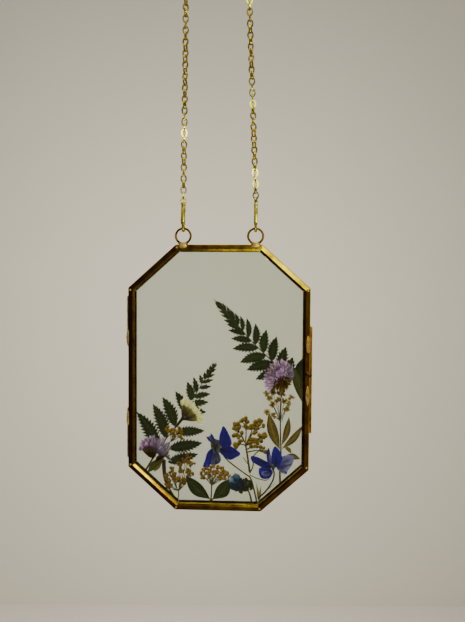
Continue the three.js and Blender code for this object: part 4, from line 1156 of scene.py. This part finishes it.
# %% Olive sprig and its flowers
olive = Cutting(4)
stalk(olive, [(35.3, -59.8), (35, -50), (35.6, -42.5), (35.1, -28.5), (35.1, -11)], 1.1, 0.6, STEM_BROWN)
stalk(olive, [(36, -24.5), (36.4, -22), (37.2, -20.5), (38.6, -16.6)], 0.4, 0.3, STEM_GREEN)
for base, tip, width, bend in [((34.9, -40.2), (28.5, -19.4), 5.8, 0.04),
                               ((36.1, -37.6), (40, -21.6), 3.8, -0.05),
                               ((36.2, -39.8), (47.6, -26.4), 3.8, -0.06),
                               ((37.6, -38.6), (41.4, -42.4), 2.2, 0.1),
                               ((37.4, -44.4), (46.6, -45.6), 3.4, 0.1)]:
    blade(olive, base, tip, width, SPRIG_LEAF, 0.5, bend=bend)
sprig_flowers = [(30.5, -14.5), (27.5, -19), (31.5, -21), (39.5, -14), (38.5, -17), (27, -8.5), (31, -8),
                 (36, -9), (41, -10.5), (29, -11), (33.4, -12), (37.4, -12.4)]
for x, z in sprig_flowers:
    stalk(olive, [(35, -24), ((x + 35) / 2, (z - 23) / 2), (x, z)], 0.4, 0.25, STEM_GREEN)
    for k in range(5):
        turn = math.radians(72 * k + dice.uniform(0, 72))
        tip = (x + 2.3 * math.cos(turn), z + 2.3 * math.sin(turn))
        blade(olive, (x, z), tip, 1.5, STRAW, 0.6, blunt=0.6, lift=-0.05, least=0.08)
olive.finish("olive_pressed_sprig", "leafy_sprig", "dried_olive")
buds("olive_sprig_buds", sprig_flowers, BUD_TAN, 4, 7, 0.4, 1.3)

# %% Grass
grass = Cutting(3)
blade(grass, (23.4, -70), (21.8, -59.4), 1.3, GRASS, 0.3)
blade(grass, (23.6, -70), (24.4, -61), 1.2, GRASS, 0.35)
blade(grass, (23.2, -69), (22.8, -63), 1.6, GRASS, 0.4)
stalk(grass, [(24.5, -67), (28, -63.6), (32.5, -59.5)], 0.35, 0.25, STEM_GREEN)
grass.finish("pressed_grass", "grass_blades", "dried_olive")

# %% Right lilac flower
violet = Cutting(1)
violet_rim = [(29, -7.6), (26, -4.4), (25.2, 0.4), (26.4, 5), (29.6, 9.4), (34.4, 12), (38.6, 11), (42, 7.6),
              (42.6, 2.6), (41, -2)]
violet_heart = Vector((35.4, -1.4))
for scale, count, lift in ((1.0, 44, 0.14), (0.8, 36, 0.02), (0.6, 28, -0.1), (0.4, 16, -0.2)):
    for k in range(count):
        share = (k + dice.random() * 0.8) / count
        edge = between(violet_rim, share)
        tip = violet_heart.lerp(edge, scale * dice.uniform(0.9, 1.04))
        foot = violet_heart.lerp(edge, max(scale - 0.5, 0.02))
        material = LILAC_BLUE if share > 0.74 and dice.random() < 0.7 else LILAC
        blade(violet, foot, tip, dice.uniform(0.8, 1.4), material, 0.66, blunt=0.15, ruffle=0.15, cup=0.2,
              bend=dice.uniform(-0.1, 0.1), lift=lift, least=0.25)
for k in range(46):
    share = (k + dice.random()) / 46
    tip = between([(28.6, -6), (31, -8.8), (35, -9.4), (38.6, -8), (41.2, -4), (41.8, 0.6)], share)
    foot = Vector((33 + 4 * dice.random(), -1.5 + dice.uniform(-1.5, 4)))
    blade(violet, foot, foot.lerp(tip, dice.uniform(0.5, 1.0)), dice.uniform(0.7, 1.2), STAMEN, 0.6,
          blunt=0.4, lift=-0.26 + dice.uniform(-0.05, 0.05), cup=0.25, bend=dice.uniform(-0.12, 0.12),
          least=0.2)
for k in range(26):
    foot = Vector((dice.uniform(29.5, 39), dice.uniform(-4, 7)))
    tip = foot.lerp(violet_heart, -dice.uniform(0.1, 0.3))
    blade(violet, foot, tip, 1.0, dice.choice((STRAW, LILAC_BLUE)), 0.6, lift=-0.24, cup=0.2, least=0.15)
for x, z in ((37, -6.2), (30.9, -7.3), (34, -8)):
    blade(violet, (x - 1, z + 1.6), (x + 0.4, z - 1.4), 1.6, STEM_BROWN, 0.5, lift=-0.15)
violet.finish("right_lilac_pressed_flower", "right_lilac_flower", "dried_lilac")

flower_leaf = Cutting(3)
blade(flower_leaf, (40.6, 8), (47.2, -13), 5.8, LEAF_DULL, 0.5, bend=0.05, cup=0.2, lift=-0.08)
blade(flower_leaf, (43.6, 0), (47.1, 11.6), 4.6, FERN, 0.5)
blade(flower_leaf, (46.2, 8), (47.1, -12), 2.8, FERN, 0.5)
flower_leaf.finish("right_pressed_leaf", "right_flower_leaf", "dried_green")

# %% [markdown]
# ## Rings and solder
#
# Each ring is a bent wire that stands in a lump of solder on the top bar. The ring is turned as a fine
# torus. The solder is a low block with rounded sides that runs a little way down the bar's face.

# %% Rings


def torus(centre, radius, wire, around=64, across=14):
    """A ring of wire that stands square to the y axis."""
    places, faces = [], []
    for i in range(around):
        turn = 2 * math.pi * i / around
        for k in range(across):
            lean = 2 * math.pi * k / across
            reach = radius + wire * math.cos(lean)
            places.append(spot(centre[0] + reach * math.cos(turn), centre[1] + wire * math.sin(lean),
                               centre[2] + reach * math.sin(turn)))
    for i in range(around):
        for k in range(across):
            a, b = i * across + k, i * across + (k + 1) % across
            c, d = ((i + 1) % around) * across + k, ((i + 1) % around) * across + (k + 1) % across
            faces.append((a, b, d, c))
    return places, faces


def lump(centre, size, seed=0, rough=0.15, square=0.5, subdivisions=3):
    """A blob of solder: a ball pushed towards a box, with a slightly uneven skin."""
    work = bmesh.new()
    bmesh.ops.create_icosphere(work, subdivisions=subdivisions, radius=1.0)
    places = []
    for vert in work.verts:
        way = vert.co.normalized()
        boxy = way / max(abs(way.x), abs(way.y), abs(way.z))
        at = way.lerp(boxy, square)
        at *= 1 + rough * noise.noise(way * 1.7 + Vector((seed, 0, 0)))
        places.append(spot(centre[0] + at.x * size[0], centre[1] + at.y * size[1],
                           centre[2] + at.z * size[2]))
    faces = [tuple(v.index for v in face.verts) for face in work.faces]
    work.free()
    return places, faces


def joined(*parts):
    places, faces = [], []
    for more_places, more_faces in parts:
        start = len(places)
        places += more_places
        faces += [tuple(start + i for i in face) for face in more_faces]
    return places, faces


for side_name, x in SIDES:
    wire = torus((x, RING_Y, RING_Z), RING_RADIUS, 0.62)
    saddle = lump((x, RING_Y - 0.1, 75.75), (2.7, 0.95, 0.62), seed=x, square=0.55)
    run = lump((x + 0.2, -3.5, 74.2), (2.1, 0.42, 1.5), seed=x + 3, square=0.2)
    places, faces = joined(wire, saddle, run)
    looks = [0 if i < len(wire[1]) else 1 for i in range(len(faces))]
    ring = make_piece(f"{side_name}_hanging_ring", places, faces, [RING_BRASS, SOLDER], FRONT, looks)
    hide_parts(f"{side_name}_ring")
print("rings", len(SIDES))

# %% [markdown]
# ## Solder at the joints
#
# The eight corners, the hinge flaps and the latch are all held by solder, which leaves small pale drops
# and ovals on the brass. They are separate little lumps that sit half sunk in the metal. The same
# lump, nearly smooth, makes the ball of the latch's knob.

# %% Solder drops
HALF_WIDTH, HALF_HEIGHT, HALF_TOP_EDGE, HALF_SIDE_EDGE = 51.0, 75.0, 24.2, 50.8
DROP_INSET, DROP_DEPTH, DROP_SIZE = 1.9, 3.45, (0.6, 0.24, 0.6)
corners = [(-HALF_TOP_EDGE, HALF_HEIGHT), (HALF_TOP_EDGE, HALF_HEIGHT), (HALF_WIDTH, HALF_SIDE_EDGE),
           (HALF_WIDTH, -HALF_SIDE_EDGE), (HALF_TOP_EDGE, -HALF_HEIGHT), (-HALF_TOP_EDGE, -HALF_HEIGHT),
           (-HALF_WIDTH, -HALF_SIDE_EDGE), (-HALF_WIDTH, HALF_SIDE_EDGE)]
for leaf, side, body in (("front", -1, FRONT), ("back", 1, BACK)):
    parts = []
    for k, (x, z) in enumerate(corners):
        inward = Vector((-x, -z)).normalized() * DROP_INSET
        at = (x + inward.x, side * DROP_DEPTH, z + inward.y)
        parts.append(lump(at, DROP_SIZE, seed=k + side, square=0.2, subdivisions=2))
    places, faces = joined(*parts)
    drops = make_piece(f"{leaf}_corner_solder", places, faces, [SOLDER], body)

latch_ovals = [lump((49.7, -3.05, 19.6), (1.5, 0.66, 6.0), 1, square=0.0),
               lump((49.5, -3.05, -9.0), (1.4, 0.64, 6.7), 2, square=0.0)]
hinge_ovals = [lump((-51.0, -2.7, z), (1.1, 0.6, 4.4), seed, square=0.2) for z, seed in ((23, 5), (-23, 6))]
for name, ovals in (("latch_solder", latch_ovals), ("hinge_solder", hinge_ovals)):
    piece = make_piece(name, *joined(*ovals), [SOLDER], FRONT)
knob = make_piece("latch_ball_knob", *lump((50.6, -4.3, 3.0), (1.5, 1.5, 1.5), 9, 0.05, 0.0), [RING_BRASS],
                  FRONT)
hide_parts("latch_knob")
print("corner drops", 2 * len(corners))

# %% [markdown]
# ## Lobster clasps
#
# A clasp is cast brass: a hook round the ring, a smooth spine, an eye at the top, and a spring gate that
# shuts against the hook's tip. From the front one sees its edge, waisted below the eye and above the
# hook. Its outline is drawn from the side, thickened, and pinched along its height by a short table of
# widths. Small steps inward round its edges off.

# %% Clasps


def curve_points(start, control, end, steps=8):
    places = []
    for k in range(1, steps + 1):
        t = k / steps
        places.append(Vector(start).lerp(Vector(control), t).lerp(Vector(control).lerp(Vector(end), t), t))
    return places


def arc_points(centre, radius, start, end, steps=12):
    turns = [start + (end - start) * k / steps for k in range(steps + 1)]
    return [Vector(centre) + Vector((radius * math.cos(turn), radius * math.sin(turn))) for turn in turns]


def clasp_outline():
    """The body seen from the side: x behind the ring's wire, y over it."""
    line = [Vector((2.75, 2.6))]
    line += curve_points((2.75, 2.6), (2.7, 0.9), (1.87, -0.7))
    line += arc_points((0, 0), 2, -0.36, -math.pi + 0.36, 16)[1:]
    line += curve_points(line[-1], (-3.5, 2.4), (-2.8, 5.5))
    line += curve_points((-2.8, 5.5), (-2.1, 9.2), (-0.9, 12.2))
    line += arc_points((0, 13.4), 1.5, -2.21, -0.93 - 2 * math.pi, 22)[1:]
    line += curve_points(line[-1], (1.5, 11.2), (2.1, 10.2), 3)
    line += arc_points((1.3, 8.6), 1.0, 1.0, 3.3, 10)
    line += curve_points(line[-1], (-1.2, 7.2), (-1.7, 4.2))
    line += curve_points((-1.7, 4.2), (-1.9, 1.6), (-1, 0))
    line += arc_points((0, 0), 1, -math.pi, 0, 12)[1:]
    line += curve_points((1, 0), (1.7, 1.2), (1.75, 2.6))
    return line


BEVEL = 0.22
WIDTH_TABLE = [(-2.2, 0.75), (0.6, 0.7), (1.8, 0.6), (2.6, 1.05), (12.6, 1.05), (13.6, 0.95), (15.2, 0.8)]


def half_width(height):
    for (low, a), (high, b) in zip(WIDTH_TABLE, WIDTH_TABLE[1:]):
        if low <= height <= high:
            share = (height - low) / (high - low)
            return a + (b - a) * (3 * share ** 2 - 2 * share ** 3)
    return WIDTH_TABLE[0][1] if height < WIDTH_TABLE[0][0] else WIDTH_TABLE[-1][1]


def cast_piece(name, outline, hole, shrink, x, body, node_name):
    """A thick outline with rounded edges, its width pinched along its height."""
    work = bmesh.new()
    rings = []
    for loop in [outline] + ([hole] if hole else []):
        kept = [p for i, p in enumerate(loop) if (p - loop[i - 1]).length > 0.02]
        verts = [work.verts.new((0.0, p.x, p.y)) for p in kept]
        rings.append([work.edges.new((a, b)) for a, b in zip(verts, verts[1:] + verts[:1])])
    bmesh.ops.triangle_fill(work, use_beauty=True, use_dissolve=False,
                            edges=[e for ring in rings for e in ring])
    rim = [v.co.copy() for v in work.verts]
    work.verts.index_update()
    flat = [tuple(v.index for v in f.verts) for f in work.faces]
    edges = [(e.verts[0].index, e.verts[1].index) for e in work.edges if len(e.link_faces) == 1]
    inward = {v.index: Vector((0, 0, 0)) for v in work.verts}
    for v in work.verts:
        pull = Vector((0, 0, 0))
        for e in v.link_edges:
            if len(e.link_faces) == 1:
                face = e.link_faces[0]
                middle = (e.verts[0].co + e.verts[1].co) / 2
                along = (e.verts[1].co - e.verts[0].co).normalized()
                away = Vector((0, -along.z, along.y))
                if away.dot(face.calc_center_median() - middle) < 0:
                    away = -away
                pull += away
        inward[v.index] = pull.normalized() if pull.length else pull
    work.free()
    levels = [(-1, BEVEL), (-1 + 0.18, BEVEL * 0.3), (-1 + 0.4, 0.0), (1 - 0.4, 0.0), (1 - 0.18, BEVEL * 0.3),
              (1, BEVEL)]
    places, faces = [], []
    for share, inset in levels:
        for index, at in enumerate(rim):
            moved = at + inward[index] * inset
            out = x + share * half_width(at.z) * shrink
            places.append(spot(out, RING_Y + moved.y, RING_Z + RING_RADIUS + moved.z))
    count = len(rim)
    top = (len(levels) - 1) * count
    faces += flat + [tuple(top + i for i in reversed(face)) for face in flat]
    for level in range(len(levels) - 1):
        for a, b in edges:
            low = level * count
            faces.append((low + a, low + b, low + count + b, low + count + a))
    piece = make_piece(name, places, faces, [CHAIN_BRASS], body)
    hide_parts(node_name)


GATE_HEAD = 0.8
gate_outline = [Vector((2.75, 2.85)), Vector((2.6, 5)), Vector((2.1, 8.6))]
gate_outline += arc_points((1.3, 8.6), GATE_HEAD, 0.0, math.pi, 12)[1:]
gate_outline += [Vector((0.9, 6.2)), Vector((1.8, 2.85))]
eye_hole = arc_points((0, 13.4), 0.7, 0, 2 * math.pi, 20)[:-1]
for side_name, x in SIDES:
    cast_piece(f"{side_name}_lobster_clasp", clasp_outline(), eye_hole, 1.0, x, "hanger",
               f"{side_name}_clasp")
    cast_piece(f"{side_name}_spring_gate", gate_outline, None, 0.72, x, f"{side_name} gate",
               f"{side_name}_clasp_gate")
print("clasps", len(SIDES))

# %% [markdown]
# ## The room and its light
#
# The frame hangs well in front of a plain pale wall over a pale floor. Both are only a stage. Two broad
# soft lamps that the metal doesn't mirror light the wall and the plants, and the one in front is seen
# by rays through glass, so that its light reaches between the panes. A small key lamp, high to the
# right of the camera, makes the upper right bar flash, and a low one does so for the lower left bar.
# Two sparks do it for faces of the chain's links, and one lamp lights the back. All else that the
# brass mirrors is a dim room, so most of it looks brown.

# %% Floor and wall
WALL_BEHIND, FLOOR_BELOW, FLOOR_AHEAD = 600.0, 536.0, 800.0
ROOM_HALF, WALL_TOP = 2200, 1800


def plain_paint(name, colour):
    material, tree, shader = new_material(name)
    place = node(tree, "ShaderNodeTexCoord").outputs["Object"]
    cloud = node(tree, "ShaderNodeTexNoise", {"Vector": place, "Scale": 6.0, "Detail": 3.0}).outputs["Fac"]
    darker = tuple(v * 0.97 for v in paint(colour)[:3]) + (1.0,)
    tree.links.new(colour_mix(tree, cloud, paint(colour), darker), shader.inputs["Base Color"])
    shader.inputs["Roughness"].default_value = 0.9
    return material


def backdrop(name, corners_mm, colour):
    """A plain sheet, turned with the camera so that the wall meets the floor level."""
    turn = Matrix.Rotation(-YAW, 3, "Z")
    mesh = bpy.data.meshes.new(name)
    mesh.from_pydata([tuple(spot(*(turn @ Vector(p)))) for p in corners_mm], [], [(0, 1, 2, 3)])
    mesh.materials.append(plain_paint(name, colour))
    piece = bpy.data.objects.new(name, mesh)
    piece.visible_glossy = False
    bpy.context.scene.collection.objects.link(piece)


wall_foot = [(-ROOM_HALF, WALL_BEHIND, -FLOOR_BELOW), (ROOM_HALF, WALL_BEHIND, -FLOOR_BELOW)]
wall_top = [(ROOM_HALF, WALL_BEHIND, WALL_TOP), (-ROOM_HALF, WALL_BEHIND, WALL_TOP)]
floor_front = [(-ROOM_HALF, -FLOOR_AHEAD, -FLOOR_BELOW), (ROOM_HALF, -FLOOR_AHEAD, -FLOOR_BELOW)]
backdrop("wall", wall_foot + wall_top, "#cbc8be")
backdrop("floor", floor_front + wall_foot[::-1], "#e0dad6")
print("wall and floor", ROOM_HALF * 2, "mm wide")

# %% Lamps and the dim room


def lamp(name, at, target, width, height, power, colour="#fff6e8", mirrored=True, through=False):
    data = bpy.data.lights.new(name, "AREA")
    data.shape = "RECTANGLE"
    data.size, data.size_y = width, height
    data.energy = power
    data.color = paint(colour)[:3]
    light = bpy.data.objects.new(name, data)
    way = spot(*target) - spot(*at)
    light.matrix_world = Matrix.Translation(spot(*at)) @ way.to_track_quat("-Z", "Y").to_matrix().to_4x4()
    light.visible_camera = False
    light.visible_transmission = through
    light.visible_glossy = mirrored
    bpy.context.scene.collection.objects.link(light)


def from_front(azimuth, elevation, distance):
    a, e = math.radians(azimuth), math.radians(elevation)
    return (distance * math.sin(a) * math.cos(e), -distance * math.cos(a) * math.cos(e),
            distance * math.sin(e))


lamp("wall pool", (-60, -60, 30), (-60, WALL_BEHIND, -150), 0.6, 0.6, 5.6, "#fff7ec", False)
lamp("front light", (-150, -700, 500), (0, 0, 0), 0.5, 0.4, 3.7, "#fdf8f2", False, True)
lamp("key lamp", (203, -612, 360), (38, 0, 63), 0.28, 0.27, 0.72, "#e6ff24")
lamp("low key lamp", (245, -607, 142), (-38, 0, -63), 0.18, 0.14, 0.025, "#ffa050")
lamp("back light", (150, 590, 300), (150, 0, 300), 0.5, 0.4, 2.6, mirrored=False)
lamp("spark", from_front(13, 14, 700), (0, 0, 140), 0.22, 0.1, 0.5, "#f8ff80")
lamp("low spark", from_front(2, -38, 700), (0, 0, 100), 0.16, 0.1, 0.16, "#f8ff90")

world = bpy.data.worlds.new("dim room")
world.use_nodes = True
tree = world.node_tree
background = tree.nodes["Background"]
path = node(tree, "ShaderNodeLightPath")
mirrored = math_node(tree, "MULTIPLY", path.outputs["Is Glossy Ray"],
                     math_node(tree, "SUBTRACT", 1.0, path.outputs["Is Transmission Ray"]))
way = node(tree, "ShaderNodeSeparateXYZ", {0: node(tree, "ShaderNodeTexCoord").outputs["Generated"]})
room = colour_mix(tree, remap(tree, way.outputs[0], -0.6, 0.65), paint("#241c12"), paint("#645236"))
for axis, low, high, colour in ((2, 0.38, 0.48, "#6c5a38"), (2, 0.62, 0.85, "#fff4dc"),
                                (0, 0.84, 0.94, "#d8c8a0")):
    room = colour_mix(tree, remap(tree, way.outputs[axis], low, high), room, paint(colour))
shade = colour_mix(tree, mirrored, paint("#b8b4ac"), room)
tree.links.new(shade, background.inputs["Color"])
background.inputs["Strength"].default_value = 0.7
bpy.context.scene.world = world
print("lamps", len(bpy.data.lights))
